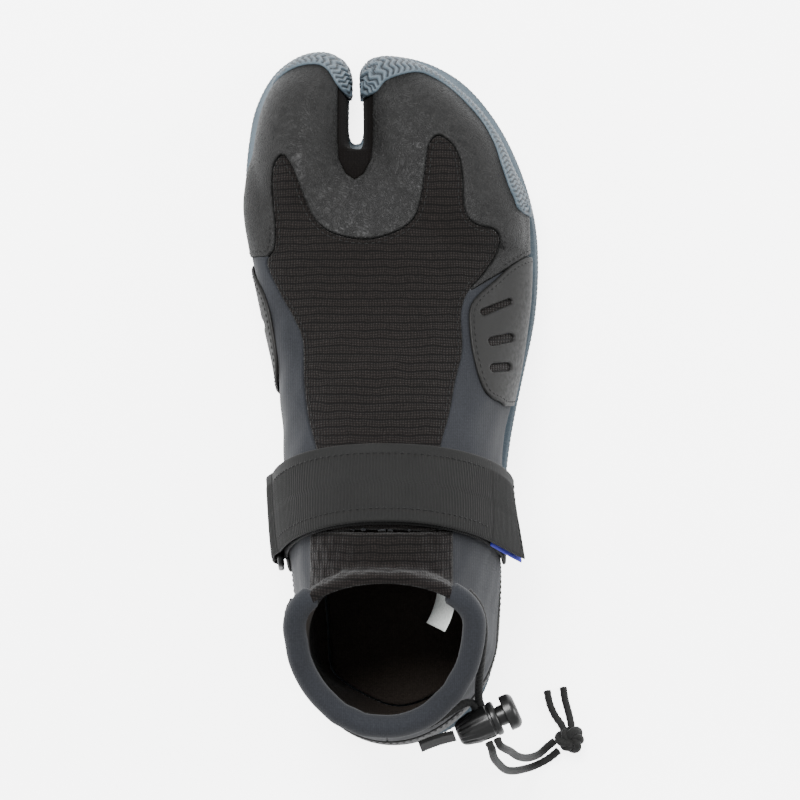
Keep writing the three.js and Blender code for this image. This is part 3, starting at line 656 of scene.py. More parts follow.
# A tread bar is one chevron, sloped on all sides; rows of them lie side by side under the forefoot and heel.
bar_width, bar_reach, bar_pitch, bar_point, bar_margin = 2.4, 5.0, 5.2, 2.6, 3.2
chevron = []
for height, grow in ((tread_depth + 0.1, 0.35), (0.0, -0.15)):
    for x, y in ((-bar_reach, 0), (0, bar_point), (bar_reach, 0)):
        chevron += [(x, y - bar_width / 2 - grow, height), (x, y + bar_width / 2 + grow, height)]
chevron_faces = [(0, 1, 3, 2), (2, 3, 5, 4), (6, 8, 9, 7), (8, 10, 11, 9), (0, 2, 8, 6), (2, 4, 10, 8),
                 (1, 7, 9, 3),
                 (3, 9, 11, 5), (0, 6, 7, 1), (4, 5, 11, 10)]
tread_bar = add_mesh("tread bar", chevron, chevron_faces, [], smooth=False)
bar_corners = np.array([(-bar_reach, -1.8), (bar_reach, -1.8), (0, 4.4), (-bar_reach, 2), (bar_reach, 2)])
bar_places = []
for y in np.arange(-134, 140, bar_pitch):
    for x in np.arange(-70, 70, 2 * bar_reach + 0.6):
        under_arch = -34 < y < 4
        if not under_arch and inside_distance(bar_corners + (x, y), sole_edge[::4]).min() > bar_margin:
            bar_places.append((x, y, 0))
copies("outsole_tread", tread_bar, bar_places, [(0, 0, 0)] * len(bar_places), rubber_blue, "boot", "sole_rubber")
bpy.data.objects.remove(tread_bar)

# ---- Insole and lasting board ----
# The board closes the upper below and carries the insole, a soft foam sheet with a cloth face, laid in loose.
# The board is stiff fibreboard, out of sight once the insole is in.
def jersey(name, low, high, per_mm=1.7, shine=0.12):
    """Knitted jersey: rows of small loops with a soft fuzz."""
    made = Finish(name, 0.85, sheen=shine, specular=shine)
    rows, wales = (made.bands(way, per_mm * scale, made.object, Distortion=1.2, Detail=1.0)
                   for way, scale in (("Y", 0.314), ("X", 0.25)))
    loops = made.maths("MULTIPLY", rows, wales)
    fuzz = made.noise(1.4, 4)
    wear = made.ramp(made.noise(0.035, 3), 0.3, 0.7)
    tone = made.maths("MULTIPLY", made.ramp(fuzz, 0.2, 0.8), made.ramp(loops, -0.8, 1.0))
    made.colour(made.maths("ADD", tone, made.maths("MULTIPLY", wear, 0.25)), low, high)
    made.relief(loops, 0.08, 0.7)
    made.relief(fuzz, 0.1, 0.5)
    return made.material


lining = jersey("black lining jersey", (0.022, 0.0172, 0.014), (0.062, 0.05, 0.042))
smooth_finish = Finish("smooth black rubber", 0.5, specular=0.2)
dust = smooth_finish.ramp(smooth_finish.noise(0.6, 4), 0.35, 0.8)
smooth_finish.colour(dust, (0.0055, 0.0054, 0.005), (0.0105, 0.0102, 0.0096))
smooth_finish.roughness(dust, -1.8, 2.4)
smooth_finish.relief(smooth_finish.noise(4.0), 0.03, 0.5)
rubber_smooth = smooth_finish.material

footbed_grain, footbed_height, arch_height = 1.6, 8.85, 1.2
grid_x, grid_y = np.meshgrid(np.arange(-64, 58, footbed_grain), np.arange(-140, 142, footbed_grain), indexing="ij")
arch = arch_height * np.exp(-((grid_x + 32) / 14) ** 2 - ((grid_y + 20) / 40) ** 2)
footbed_points = np.stack([grid_x, grid_y, footbed_height + arch], -1).reshape(-1, 3)
index = np.arange(grid_x.size).reshape(grid_x.shape)
near, right, far, ahead = (part.ravel()
                           for part in (index[:-1, :-1], index[1:, :-1], index[1:, 1:], index[:-1, 1:]))
footbed_faces = np.concatenate([np.stack([near, right, far], 1), np.stack([near, far, ahead], 1)])
footbed = Surface(footbed_points, footbed_faces, np.tile([0.0, 0, 1], (len(footbed_points), 1)))
insole_inset, skin_inset = 5.4, 4.6


def depth_in_last(place):
    skin, outward, _, gap = last_tree.find_nearest(Vector(place))
    return gap if (Vector(place) - skin).dot(outward) < 0 else -gap


in_insole = np.minimum(inside_distance(footbed.points[:, :2], sole_edge[::2]) - insole_inset,
                       np.array([depth_in_last(place) for place in footbed.points]) - skin_inset)
piece, depth_in = cut_panel(in_insole, surface=footbed)
insole = sew_panel("insole_sheet", piece, depth_in, 1.7, 3.2, 1.2, [lining])
finish_piece(insole, "foam", "insole")
board = bpy.data.objects["lasting_board"]
board.data.materials.clear()
board.data.materials.append(rubber_smooth)


# ---- Upper panels ----
# Neoprene sheet, about 3 mm thick and faced with cloth on both sides. The quarters are slate jersey, the instep is
# open knit, and the toes and heel are coated with rubber. All are butted, glued and then stitched over.
slate = jersey("slate neoprene jersey", (0.0085, 0.0092, 0.0112), (0.0235, 0.0255, 0.0305))
black_jersey = jersey("black ribbed knit", (0.0014, 0.0011, 0.001), (0.0058, 0.0047, 0.0042), per_mm=1.1,
                      shine=0.03)

# The rubber over the toes has a fine pebble grain: long cells with dark, shiny furrows between them.
grained = Finish("grained black rubber", 0.6, specular=0.24)
long_way = grained.bent(0.12, 2.0, (0.012, 0.012, 0.012))
long_way = grained.node("ShaderNodeMapping", {"Vector": long_way, "Scale": (1.0, 0.55, 0.8)}).outputs[0]
cells = grained.node("ShaderNodeTexVoronoi", {"Vector": long_way, "Scale": 1.15 / MM}, feature="DISTANCE_TO_EDGE")
pebble = grained.ramp(cells.outputs["Distance"], 0.0, 0.28)
grained.colour(pebble, (0.0016, 0.0016, 0.0015), (0.0076, 0.0074, 0.0069))
grained.roughness(pebble, -2.2, 2.6)
grained.relief(pebble, 0.14, 0.9)
grained.relief(grained.noise(0.3, 3), 0.12, 0.4)
rubber_grain = grained.material

# Coarse knit, black with a brown cast: fine loops in cross rows 1.1 mm apart, three rows to a rib.
open_knit = Finish("black open knit", 0.9, sheen=0.1, specular=0.1)
drawn = open_knit.bent(0.09, 3.0, (0.0025, 0.0025, 0.0))
rows, wales, ribs = (open_knit.bands(way, per_mm, drawn, Distortion=bend, Detail_Scale=3.0)
                     for way, per_mm, bend in (("Y", 0.3, 0.8), ("X", 0.3, 0.8), ("Y", 0.1, 0.15)))
loops = open_knit.maths("MULTIPLY", open_knit.ramp(rows, -0.5, 0.9), open_knit.ramp(wales, -0.3, 0.9))
loops = open_knit.maths("MULTIPLY", loops, open_knit.ramp(ribs, -0.05, 0.35))
fuzz = open_knit.noise(1.1, 4)
tone = open_knit.maths("MULTIPLY", loops, open_knit.ramp(fuzz, 0.1, 0.75))
open_knit.colour(tone, (0.0012, 0.0009, 0.0008), (0.0195, 0.0152, 0.0136))
open_knit.relief(loops, 0.35, 0.8)
open_knit.relief(fuzz, 0.15, 0.6)
knit = open_knit.material


def soft_noise(points, grain, seed):
    """Smooth values from -1 to 1 over space, the same on every run."""
    rng = np.random.default_rng(seed)
    total = np.zeros(len(points))
    for _ in range(7):
        direction = rng.normal(size=3)
        direction /= np.linalg.norm(direction)
        total += np.sin(points @ direction * (2 * np.pi / (grain * rng.uniform(0.7, 1.5)))
                        + rng.uniform(0, 2 * np.pi))
    return np.clip(total / 3.2, -1, 1)


sheet_thickness = 3.0
toe_panel_rise, instep_rise, counter_rise = 0.6, -0.5, 0.5
panel_rows = [
    ("instep_knit", in_instep, instep_rise, 0.7, knit, "black_knit", "instep_panel", 0.12),
    ("toe_panel_rubber", in_toe, toe_panel_rise, 0.9, rubber_grain, "grained_rubber", "toe_panel", 0.1),
    ("toe_gusset_knit", in_gusset, -0.3, 0.6, black_jersey, "black_knit", "toe_gusset", 0.0),
    ("heel_counter_rubber", in_counter, counter_rise, 0.9, rubber_smooth, "black_rubber", "heel_counter", 0.1),
    ("medial_quarter_cloth", np.minimum(in_quarters, back_seam - last.points[:, 0]), 0.0, 0.6, slate,
     "slate_neoprene",
     "medial_quarter", 0.3),
    ("lateral_quarter_cloth", np.minimum(in_quarters, last.points[:, 0] - back_seam), 0.0, 0.6, slate,
     "slate_neoprene",
     "lateral_quarter", 0.3),
]
for row_number, (name, field, rise, roll, material, slot, node, unevenness) in enumerate(panel_rows):
    piece, depth_in = cut_panel(field)
    waves = unevenness * soft_noise(piece.points, 16, row_number) * np.clip(depth_in / 6, 0, 1)
    panel = sew_panel(name, piece, depth_in, rise, sheet_thickness + rise, roll, [material, lining], waves)
    finish_piece(panel, slot, node)

# ---- Vented overlays ----
# A patch of smooth black rubber film, 1 mm thick, pressed onto each side of the forefoot and stitched round.
# Slanted slots in it let water out through a dark mesh.
lateral_overlay_edge = outline([(28, 38), (27.2, 26), (29.4, 13), (33, 3), (38.5, -0.6), (46, -2), (80, 8),
                                (80, 60), (62, 58.6),
                                (51, 57.4), (44, 53.5), (38, 48)], 6)
medial_overlay_edge = outline([(52, 9), (54, 26), (44, 40), (28, 46), (12, 47), (4, 38), (2, 20), (6, 9)], 6)


def slot_edge(x, y, length, width, turn):
    """A slot with round ends, seen from above."""
    angle = np.linspace(-np.pi / 2, np.pi / 2, 9)
    end = np.stack([length / 2 - width / 2 + np.cos(angle) * width / 2, np.sin(angle) * width / 2], 1)
    ring = np.concatenate([end, -end])
    c, s = math.cos(math.radians(turn)), math.sin(math.radians(turn))
    return ring @ np.array([[c, s], [-s, c]]) + (x, y)


def part_of_last(margin, *fields):
    """The finer surface of the last near where all fields are inside, for small shapes."""
    piece, _ = last.keep(np.minimum.reduce(fields) + margin)
    return piece.finer()


lateral_slots = [slot_edge(37.5, 36.7, 13.5, 2.4, 24), slot_edge(39.3, 23.8, 10.5, 3.4, 14),
                 slot_edge(38.9, 12.8, 8.5, 3.4, 6)]
medial_slots = [slot_edge(31, 33, 12, 3.4, 106), slot_edge(17, 33, 12, 3.4, 106)]
overlay_rows = [
    ("lateral_vent_film",
     part_of_last(4, inside_distance(last.points[:, :2], lateral_overlay_edge), last.points[:, 0]), (0, 1),
     lateral_overlay_edge, lateral_slots, "lateral_vent_overlay"),
    ("medial_vent_film",
     part_of_last(4, inside_distance(last.points[:, 1:], medial_overlay_edge), -20 - last.points[:, 0]), (1, 2),
     medial_overlay_edge, medial_slots, "medial_vent_overlay"),
]
film_rise = 1.4
seams = []
for name, base, axes, edge, slots, node in overlay_rows:
    flat = base.points[:, axes]
    whole = np.minimum(base.along(inside_distance(flat, edge)), base.points[:, 2] - 9)
    holes = np.maximum.reduce([inside_distance(flat, slot) for slot in slots])
    piece, depth_in = cut_panel(np.minimum(whole, -holes), (0.2, 0.5, 1.0), base)
    film = sew_panel(name, piece, depth_in, film_rise, 1.1, 0.8, [rubber_smooth])
    finish_piece(film, "black_rubber", node)
    seams.append((base, whole))
    piece, depth_in = cut_panel(np.minimum(holes + 1.6, whole), (0.3,), base)
    mesh = sew_panel(name.replace("film", "mesh"), piece, depth_in, 0.26, 0.2, 0.1, [knit])
    finish_piece(mesh, "black_knit")

# ---- Toe caps ----
# The sole's rubber runs up over the toe tips as two caps, one for the big toe. Fine zigzag ribs run outwards
# over them from a plain border.
def smooth_line(points, steps=10):
    """A smooth open line through a few points."""
    return between(points, (len(points) - 1) * steps + 1)


cap_rib_pitch, cap_rib_height, cap_zigzag, cap_zigzag_run, cap_step = 2.05, 0.75, 0.55, 9, 0.5
# Each cap's rear edge, which shows, and the corners that close its outline beyond the toes.
cap_rows = [
    ("big_toe_cap_rubber", "big_toe_cap",
     [(-57.9, 117), (-51, 127.5), (-42.7, 133.4), (-34.3, 134.8), (-29.5, 132.5), (-25.9, 126.5), (-21.6, 122)],
     [(-21.0, 122), (-21.0, 150), (-80, 150), (-80, 116)]),
    ("small_toes_cap_rubber", "small_toes_cap",
     [(-14.8, 121.7), (-9.2, 123.7), (-4.8, 128.5), (6, 131.7), (12.8, 130), (21.1, 124.5), (31, 114), (37, 103.4),
      (40.3, 93.4), (44.7, 81.4), (50.7, 74.2), (80, 70)],
     [(80, 150), (-14.8, 150)]),
]
for name, node, rear_edge, beyond in cap_rows:
    line = smooth_line(rear_edge)
    closed = np.concatenate([line, np.array(beyond, float)])
    base = part_of_last(4, inside_distance(last.points[:, :2], closed)).finer()
    piece, depth_in = cut_panel(base.along(inside_distance(base.points[:, :2], closed)), (0.3, 0.8), base)
    line = even_spacing(line, cap_step)
    gap = ((piece.points[:, None, :2] - line[None]) ** 2).sum(2)
    nearest = np.clip(gap.argmin(1), 1, len(line) - 2)
    run = line[nearest + 1] - line[nearest - 1]
    run /= np.linalg.norm(run, axis=1, keepdims=True)
    place = nearest * cap_step + ((piece.points[:, :2] - line[nearest]) * run).sum(1)
    away = np.sqrt(gap.min(1)) - piece.points[:, 2]
    wave = (place + cap_zigzag * np.sin(2 * np.pi * away / cap_zigzag_run)) / cap_rib_pitch
    ridge_wave = 0.5 * np.cos(2 * np.pi * wave)
    shown_rib = np.clip(depth_in / 0.7, 0, 1)
    rib = cap_rib_height * shown_rib * ((0.5 + ridge_wave) ** 0.7 - 0.6)
    cap = sew_panel(name, piece, depth_in, 1.9, 1.6, 0.9, [rubber_blue], rib)
    # Painted shade: the colour darkens in the hollows between the cap's ribs.
    paint_groove_shade(cap, shown_rib * (0.5 - ridge_wave) ** 1.3)
    finish_piece(cap, "sole_rubber", node)

# ---- Collar ----
# The top edge is a soft roll of slate neoprene, folded outwards over the drawcord and sewn down. It stops on
# both sides of the throat patch, a flap of ribbed black knit that lets the front of the collar stretch.
def topline_point(angle, offset, height):
    """A point on the topline by its angle: 90 is the front, 0 the outer side, -90 the back."""
    ring = slice_ring(rim_slice(height), 720)
    step = np.roll(ring, -1, 0) - np.roll(ring, 1, 0)
    up_axis = np.array([0, *topline_rise])
    out = np.cross(step, up_axis)
    out /= np.linalg.norm(out, axis=1, keepdims=True)
    if ((ring - ring.mean(0)) * out).sum() < 0:
        out = -out
    i = int(round(angle * 2)) % 720
    return ring[i] + out[i] * offset


def tube(name, line, radius, material, sides=16, step=0.3, weave=0.0, shape=None):
    """A round tube along a smooth line, with an optional braided face. Returns the piece and its middle line."""
    line = even_spacing(smooth_line(line, 12), step)
    run = np.gradient(line, axis=0)
    run /= np.linalg.norm(run, axis=1, keepdims=True)
    across = np.cross(run[0], (0, 0, 1.0))
    if np.linalg.norm(across) < 0.2:
        across = np.cross(run[0], (0, 1.0, 0))
    across /= np.linalg.norm(across)
    angle = np.linspace(0, 2 * np.pi, sides, endpoint=False)
    points = []
    for i, (place, way) in enumerate(zip(line, run)):
        across = across - way * (across @ way)
        across /= np.linalg.norm(across)
        side = np.cross(way, across)
        size = radius if shape is None else radius * shape(i / (len(line) - 1), angle)
        braid = weave * np.maximum(*(np.sin(i * step * 2.6 + turns * angle) for turns in (4, -4)))
        size = np.broadcast_to(size + braid, angle.shape)[:, None]
        points.append(place + size * (np.cos(angle)[:, None] * across + np.sin(angle)[:, None] * side))
    count = len(line)
    faces = ring_faces(count, sides)
    for hub, r, order in ((count * sides, 0, 1), (count * sides + 1, count - 1, -1)):
        faces += [(hub, r * sides + (i + 1) % sides, r * sides + i)[::order] for i in range(sides)]
    hubs = [line[0] - run[0] * radius * 0.25, line[-1] + run[-1] * radius * 0.25]
    return add_mesh(name, np.concatenate([*points, hubs]), faces, [material]), line


roll_radius, roll_start, roll_end = 4.5, 46, -220
roll_line = [topline_point(a, -1.5, 0) for a in np.linspace(roll_start, roll_end, 40)]


def roll_shape(share, angle):
    """Fullness of the roll: even, with slack folds, and drawn in at its sewn ends."""
    fold = 0.05 * np.sin(share * 55 + 2 * np.sin(share * 21)) * np.cos(angle - 1.2)
    closing = np.sqrt(np.clip(np.minimum(share, 1 - share) / 0.012, 0, 1))
    return (0.98 + fold) * (0.35 + 0.65 * closing)


roll, _ = tube("collar_roll_neoprene", roll_line, roll_radius, slate, sides=36, step=0.9, shape=roll_shape)
finish_piece(roll, "slate_neoprene", "collar_roll")

flap_edge = np.array([(-34.8, -49.6), (20.9, -49.6), (20.9, -82), (-34.8, -82)], float)


def inside_flap(surface):
    height = (surface.points[:, 1:] - topline_front) @ topline_rise
    seen = surface.along(inside_distance(surface.points[:, :2], flap_edge))
    return np.minimum.reduce([seen, surface.points[:, 2] - 80, 3.9 - height])


near, _ = tall_last.keep(inside_flap(tall_last) + 4)
near = near.finer()
in_flap = inside_flap(near)
piece, depth_in = cut_panel(in_flap, (0.4, 1.0, 1.8, 3), near)
flap_rib = 0.05 * np.cos(2 * np.pi * piece.points[:, 0] / 1.9) + 0.25 * soft_noise(piece.points, 7, 31)
flap_rib = flap_rib * np.clip(depth_in / 3, 0, 1)
flap = sew_panel("throat_flap_knit", piece, depth_in, 1.0, 4.0, 3.6, [knit], flap_rib)
finish_piece(flap, "black_knit", "throat_patch")


def turned_about(x, y, z, angle, middle):
    """Points turned about the vertical and then moved to a middle."""
    c, s = math.cos(angle), math.sin(angle)
    return np.stack([x * c - y * s, x * s + y * c, z], -1) + middle


def double_sheet(name, shells, material):
    """A thin piece between two grids of points, closed round its border."""
    rows, columns = shells[0].shape[:2]
    total = rows * columns
    index = np.arange(total).reshape(rows, columns)
    quads = np.stack([index[:-1, :-1], index[1:, :-1], index[1:, 1:], index[:-1, 1:]], -1).reshape(-1, 4)
    border = np.concatenate([index[:, 0], index[-1, 1:], index[::-1, -1][1:], index[0, ::-1][1:-1]])
    faces = [tuple(q) for q in quads] + [tuple(q[::-1] + total) for q in quads]
    faces += [(b, a, a + total, b + total) for a, b in zip(border, np.roll(border, -1))]
    return face_outwards(add_mesh(name, np.concatenate(shells).reshape(-1, 3), faces, [material]))


def mottled(made, grain, detail, spread, low, high, relief=None):
    """The material of a finish that varies between two tones, with fine relief by grain, depth and strength."""
    made.colour(made.ramp(made.noise(grain, detail), *spread), low, high)
    if relief:
        made.relief(made.noise(relief[0]), *relief[1:])
    return made.material


label_cloth = mottled(Finish("white label cloth", 0.8, sheen=0.2), 1.2, 3, (0.3, 0.7), (0.42, 0.44, 0.42),
                      (0.6, 0.62, 0.6), (3.0, 0.05, 0.5))
label_middle, label_turn, label_width, label_length = (18.0, -80, 93), math.radians(-17), 15, 20
y, z = np.meshgrid(np.linspace(-label_width / 2, label_width / 2, 14),
                   np.linspace(-label_length / 2, label_length / 2, 18), indexing="ij")
hang = 1.5 - (y / 8) ** 2 + 0.5 * np.sin(z / 4.5) - 0.3 * (label_length / 2 - z)
label = double_sheet("blank_size_label", [turned_about(hang + face, y, z, label_turn, label_middle)
                                          for face in (-0.2, 0.2)], label_cloth)
finish_piece(label, "label_cloth", "size_label")

# ---- Webbing ----
# Woven polyester tape, black with close cross ribs. The grip under the strap's free end is bright blue.
# The fittings on it are moulded in black plastic.
def ribbed_tape(name, low, high):
    made = Finish(name, 0.7, sheen=0.05, specular=0.15)
    fibre = made.maths("MULTIPLY", made.ramp(made.noise(2.2, 3), 0.25, 0.75), 0.7)
    wear = made.maths("MULTIPLY", made.ramp(made.noise(0.06, 3), 0.35, 0.75), 0.3)
    made.colour(made.maths("ADD", fibre, wear), low, high)
    made.relief(made.noise(3.5), 0.05, 0.6)
    return made.material


tape_black = ribbed_tape("black ribbed tape", (0.0042, 0.0042, 0.004), (0.0098, 0.0098, 0.0093))
tape_blue = ribbed_tape("blue tape", (0.02, 0.02, 0.26), (0.04, 0.04, 0.42))
black_plastic = mottled(Finish("black moulded plastic", 0.33, specular=0.4), 0.7, 3, (0.4, 0.8),
                        (0.006, 0.006, 0.0058), (0.01, 0.01, 0.0097), (2.2, 0.03, 0.5))

# ---- Strap ----
# One ribbed webbing tape, 32 mm wide, goes over the instep. It is sewn down on the outer side, runs under a
# plastic ring on the inner side, turns back through it, and grips itself with hook and loop over the instep.
# The frame of the strap: it leans back by strap_lean, and its ridge is over the instep.
strap_lean = math.radians(17)
ridge = np.array([-33, 93.4])
strap_down = np.array([-math.sin(strap_lean), -math.cos(strap_lean)])
strap_back = np.array([-math.cos(strap_lean), math.sin(strap_lean)])
b_step = 1.0
strap_b = np.arange(-20, 20.01, b_step)
strap_angles = np.radians(np.arange(-40, 232, 1.0))
hits = np.zeros((len(strap_b), len(strap_angles), 3))
tall_tree = BVHTree.FromPolygons([tuple(p) for p in tall_last.points],
                                 [tuple(map(int, f)) for f in tall_last.faces])
for i, b in enumerate(strap_b):
    middle = ridge + strap_down * 45 + strap_back * b
    for j, angle in enumerate(strap_angles):
        way = Vector((math.cos(angle), *(-math.sin(angle) * strap_down)))
        hits[i, j] = tall_tree.ray_cast(Vector((-4, *middle)), way)[0]
for _ in range(3):
    hits[:, 1:-1] = (hits[:, :-2] + 2 * hits[:, 1:-1] + hits[:, 2:]) / 4
arc_step = 0.5
laid = []
for i in range(len(strap_b)):
    run = np.concatenate([[0], np.cumsum(np.linalg.norm(np.diff(hits[i], axis=0), axis=1))])
    along_a = (hits[i][:, 1:] - ridge) @ strap_down
    top_index = int(np.argmin(along_a))
    # The arc is 0 at the top and grows to the inner side.
    laid.append((run - run[top_index], hits[i], along_a, top_index))


def arc_at(b_index, a, inner):
    """The arc at which the strap's line b_index is a millimetres down from the ridge."""
    arcs, _, along_a, top_index = laid[b_index]
    if inner:
        return np.interp(a, np.maximum.accumulate(along_a[top_index:]), arcs[top_index:])
    return np.interp(a, np.maximum.accumulate(along_a[:top_index + 1][::-1]), arcs[:top_index + 1][::-1])


arc_low, arc_high = max(row[0][0] for row in laid), min(row[0][-1] for row in laid)
arcs = np.arange(arc_low, arc_high, arc_step)
strap_table = np.array([[np.interp(arcs, row[0], row[1][:, k]) for k in range(3)]
                        for row in laid]).transpose(0, 2, 1)
along_arc = np.gradient(strap_table, axis=1)
along_b = np.gradient(strap_table, axis=0)
strap_normal = np.cross(along_b, along_arc)
strap_normal /= np.linalg.norm(strap_normal, axis=2, keepdims=True)
if strap_normal[20, len(arcs) // 2] @ (0, *strap_down) > 0:
    strap_normal = -strap_normal
for _ in range(8):
    strap_normal[:, 1:-1] = (strap_normal[:, :-2] + 2 * strap_normal[:, 1:-1] + strap_normal[:, 2:]) / 4
strap_normal /= np.linalg.norm(strap_normal, axis=2, keepdims=True)
ring_arc = np.array([arc_at(i, 44, True) for i in range(len(strap_b))])
crease_arc = np.array([arc_at(i, 22, False) for i in range(len(strap_b))])
for edge_arcs in (ring_arc, crease_arc):
    edge_arcs[:] = np.polyval(np.polyfit(strap_b, edge_arcs, 3), strap_b)


def on_strap(u, d, b, height):
    """A point over the boot's skin: u is 0 at the ring's bar and 1 at the strap's crease, and d is added
    millimetres, downwards on both sides."""
    u, d, b, height = np.broadcast_arrays(*(np.asarray(x, float) for x in (u, d, b, height)))
    i = np.clip((b - strap_b[0]) / b_step, 0, len(strap_b) - 1.001)
    start, end = np.interp(b, strap_b, ring_arc), np.interp(b, strap_b, crease_arc)
    arc = start + u * (end - start) + d * np.where(u < 0.5, 1, -1)
    j = np.clip((arc - arc_low) / arc_step, 0, len(arcs) - 1.001)
    i0, j0 = i.astype(int), j.astype(int)
    fi, fj = (i - i0)[..., None], (j - j0)[..., None]

    def read(table):
        return ((table[i0, j0] * (1 - fj) + table[i0, j0 + 1] * fj) * (1 - fi)
                + (table[i0 + 1, j0] * (1 - fj) + table[i0 + 1, j0 + 1] * fj) * fi)
    return read(strap_table) + read(strap_normal) * height[..., None]


strap_length = float(np.mean(ring_arc - crease_arc))
half_strap, tape_thickness, rib_pitch, route_step = 16, 1.7, 1.15, 0.24


def on_strap_flat(arc, b, height):
    """The same place as on_strap, by one length along the strap from the ring's bar."""
    share = np.clip(arc / strap_length, 0, 1)
    beyond = np.where(arc < 0, -arc, np.maximum(arc - strap_length, 0))
    return on_strap(share, beyond, b, height)


def ribbon(name, route, half_width, thickness, material, rib_height=0.14, border=4.0, flare=None,
           tapered=(True, True)):
    """A woven tape along a route of (u, d, height) in the strap's frame. Its face has cross ribs, and it is
    smoother in a border along its front edge."""
    u, d, height = np.array(route, float).T
    line = np.stack([u * strap_length + d * np.where(u < 0.5, -1, 1), height], 1)
    line = even_spacing(smooth_line(line), route_step)
    run = np.gradient(line, axis=0)
    run /= np.linalg.norm(run, axis=1, keepdims=True)
    across = np.concatenate([[-half_width, 0.25 - half_width, 0.7 - half_width],
                             np.linspace(1.5 - half_width, half_width - 1.5, 28),
                             [half_width - 0.7, half_width - 0.25, half_width]])
    marks = np.arange(len(line)) * route_step
    s, b = np.meshgrid(marks, across, indexing="ij")
    edge = half_width - np.abs(b)
    swell = thickness / 2 * np.sqrt(np.clip(1 - (1 - np.clip(edge / 0.7, 0, 1)) ** 2, 0.04, 1))
    from_ends = np.minimum(s if tapered[0] else 1, marks[-1] - s if tapered[1] else 1)
    swell = swell * (0.35 + 0.65 * np.clip(from_ends / 0.5, 0, 1))
    from_border = b + half_width - border
    ribbed = np.clip(from_border / 0.4, 0, 1) if border else 1
    ribs = (ribbed * 0.9 + 0.1) * np.cos(2 * np.pi * s / rib_pitch) * np.clip(edge / 0.5, 0, 1)
    swell = swell + rib_height * (ribs - 1)
    if border:
        swell = swell - 0.22 * np.exp(-(from_border / 0.35) ** 2)
    lift = flare(s / marks[-1], b) if flare else 0
    return double_sheet(name, [on_strap_flat(line[:, :1] - side * swell * run[:, 1:], b,
                                             line[:, 1:] + side * swell * run[:, :1] + lift)
                               for side in (1, -1)], material)


def level(height, *places):
    """A route's points, all at one height."""
    return [(u, d, height) for u, d in places]


lower_height, upper_height, turn_height, hook_height = 1.35, 4.45, 6.65, 2.9
strap_lower = ribbon("strap_sewn_layer",
                     level(lower_height, (0, 1), (0.25, 0), (0.5, 0), (0.75, 0), (1, 0), (1, 20),
                                               (1, 38)), half_strap, tape_thickness, tape_black)
finish_piece(strap_lower, "webbing", "strap_lower")
turn = ribbon("strap_fold_through_ring", [
    (0, -0.8, lower_height), (0, 1.8, lower_height), (0, 3.6, 1.6), (0, 4.45, 2.6), (0, 4.7, 4.0), (0, 4.45, 5.4),
    (0, 3.6, 6.4), (0, 1.8, turn_height), (0, -0.6, turn_height)], half_strap - 0.2, tape_thickness, tape_black)
finish_piece(turn, "webbing", "strap_turn", body="ring")


def upper_flare(share, b):
    """The tape bows a little over the instep, more along its front edge."""
    return 0.5 * np.sin(np.pi * np.clip((share - 0.2) / 0.75, 0, 1)) * (1 - b / 22)


upper_route = [(0, -0.5, turn_height), (0, -3, turn_height - 0.1), (0, -7, 5.2)]
upper_route += level(upper_height, (0, -11), (0.3, 0), (0.5, 0), (0.7, 0), (0.9, 0), (1, 0))
upper = ribbon("strap_over_instep", upper_route, half_strap, tape_thickness, tape_black, flare=upper_flare,
               tapered=(True, False))
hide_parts("strap_upper")
lift_from, lift_to = (on_strap(0, d, 0, turn_height) * MM for d in (1.5, -8.0))
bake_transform(upper)
hook = ribbon("strap_hook_patch", level(hook_height, (1, -18), (1, -9), (1, -1)), 14, 0.8, tape_black,
              rib_height=0.03)
finish_piece(hook, "webbing", "hook_patch", body="strap")


def tip_flare(share, b):
    """The free end stands off towards its rear corner."""
    return 5.8 * share**2 * np.clip((b + 12) / 28, 0, 1) ** 1.2


tip = ribbon("strap_free_end", level(upper_height, (1, 0), (1, 6), (1, 14), (1, 21), (1, 27.5)), half_strap,
             tape_thickness, tape_black, flare=tip_flare, tapered=(False, True))
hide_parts("strap_tip")
peel_from, peel_to = (on_strap(1, d, 0, upper_height) * MM for d in (-1.5, 5.0))
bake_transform(tip)
blue_tab = ribbon("blue_grip_tab", level(hook_height, (1, 3.5), (1, 8), (1, 16), (1, 24), (1, 30.5)),
                  half_strap + 0.7, 0.9, tape_blue, rib_height=0.05, border=0, flare=tip_flare)
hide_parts("pull_tab")
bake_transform(blue_tab)

# The ring is a flat moulded frame. A loop of the same tape, sewn to the inner side, holds its lower bar.
ring_bar, ring_depth, ring_height = 2.6, 2.4, 4.0
ring_half, ring_upper, ring_lower, ring_corner = 17.9, 1.3, 10.9, 2.2
rear, front = ring_corner - ring_half, ring_half - ring_corner
top, foot = ring_upper + ring_corner, ring_lower - ring_corner
frame_line = []
for corner_b, corner_d, from_angle in ((front, top, -90), (front, foot, 0), (rear, foot, 90), (rear, top, 180)):
    for angle in np.radians(np.linspace(from_angle, from_angle + 90, 7)):
        frame_line.append((corner_b + ring_corner * math.cos(angle), corner_d + ring_corner * math.sin(angle)))
frame_line = even_spacing(frame_line, 0.7, closed=True)
section = np.radians(np.arange(0, 360, 22.5))
out_in, up_down = (np.sign(way) * np.abs(way) ** 0.6 * size / 2
                   for way, size in ((np.cos(section), ring_bar), (np.sin(section), ring_depth)))
ring_points = []
for place, out in zip(frame_line, outwards_of(frame_line)):
    b, d = (place + out_in[:, None] * out).T
    ring_points.append(on_strap(0, d, b, ring_height + up_down))
strap_ring = face_outwards(add_mesh("strap_ring_moulding", np.concatenate(ring_points),
                                    ring_faces(len(frame_line), len(section), closed=True), [black_plastic]))
finish_piece(strap_ring, "black_plastic", "strap_ring", body="ring")
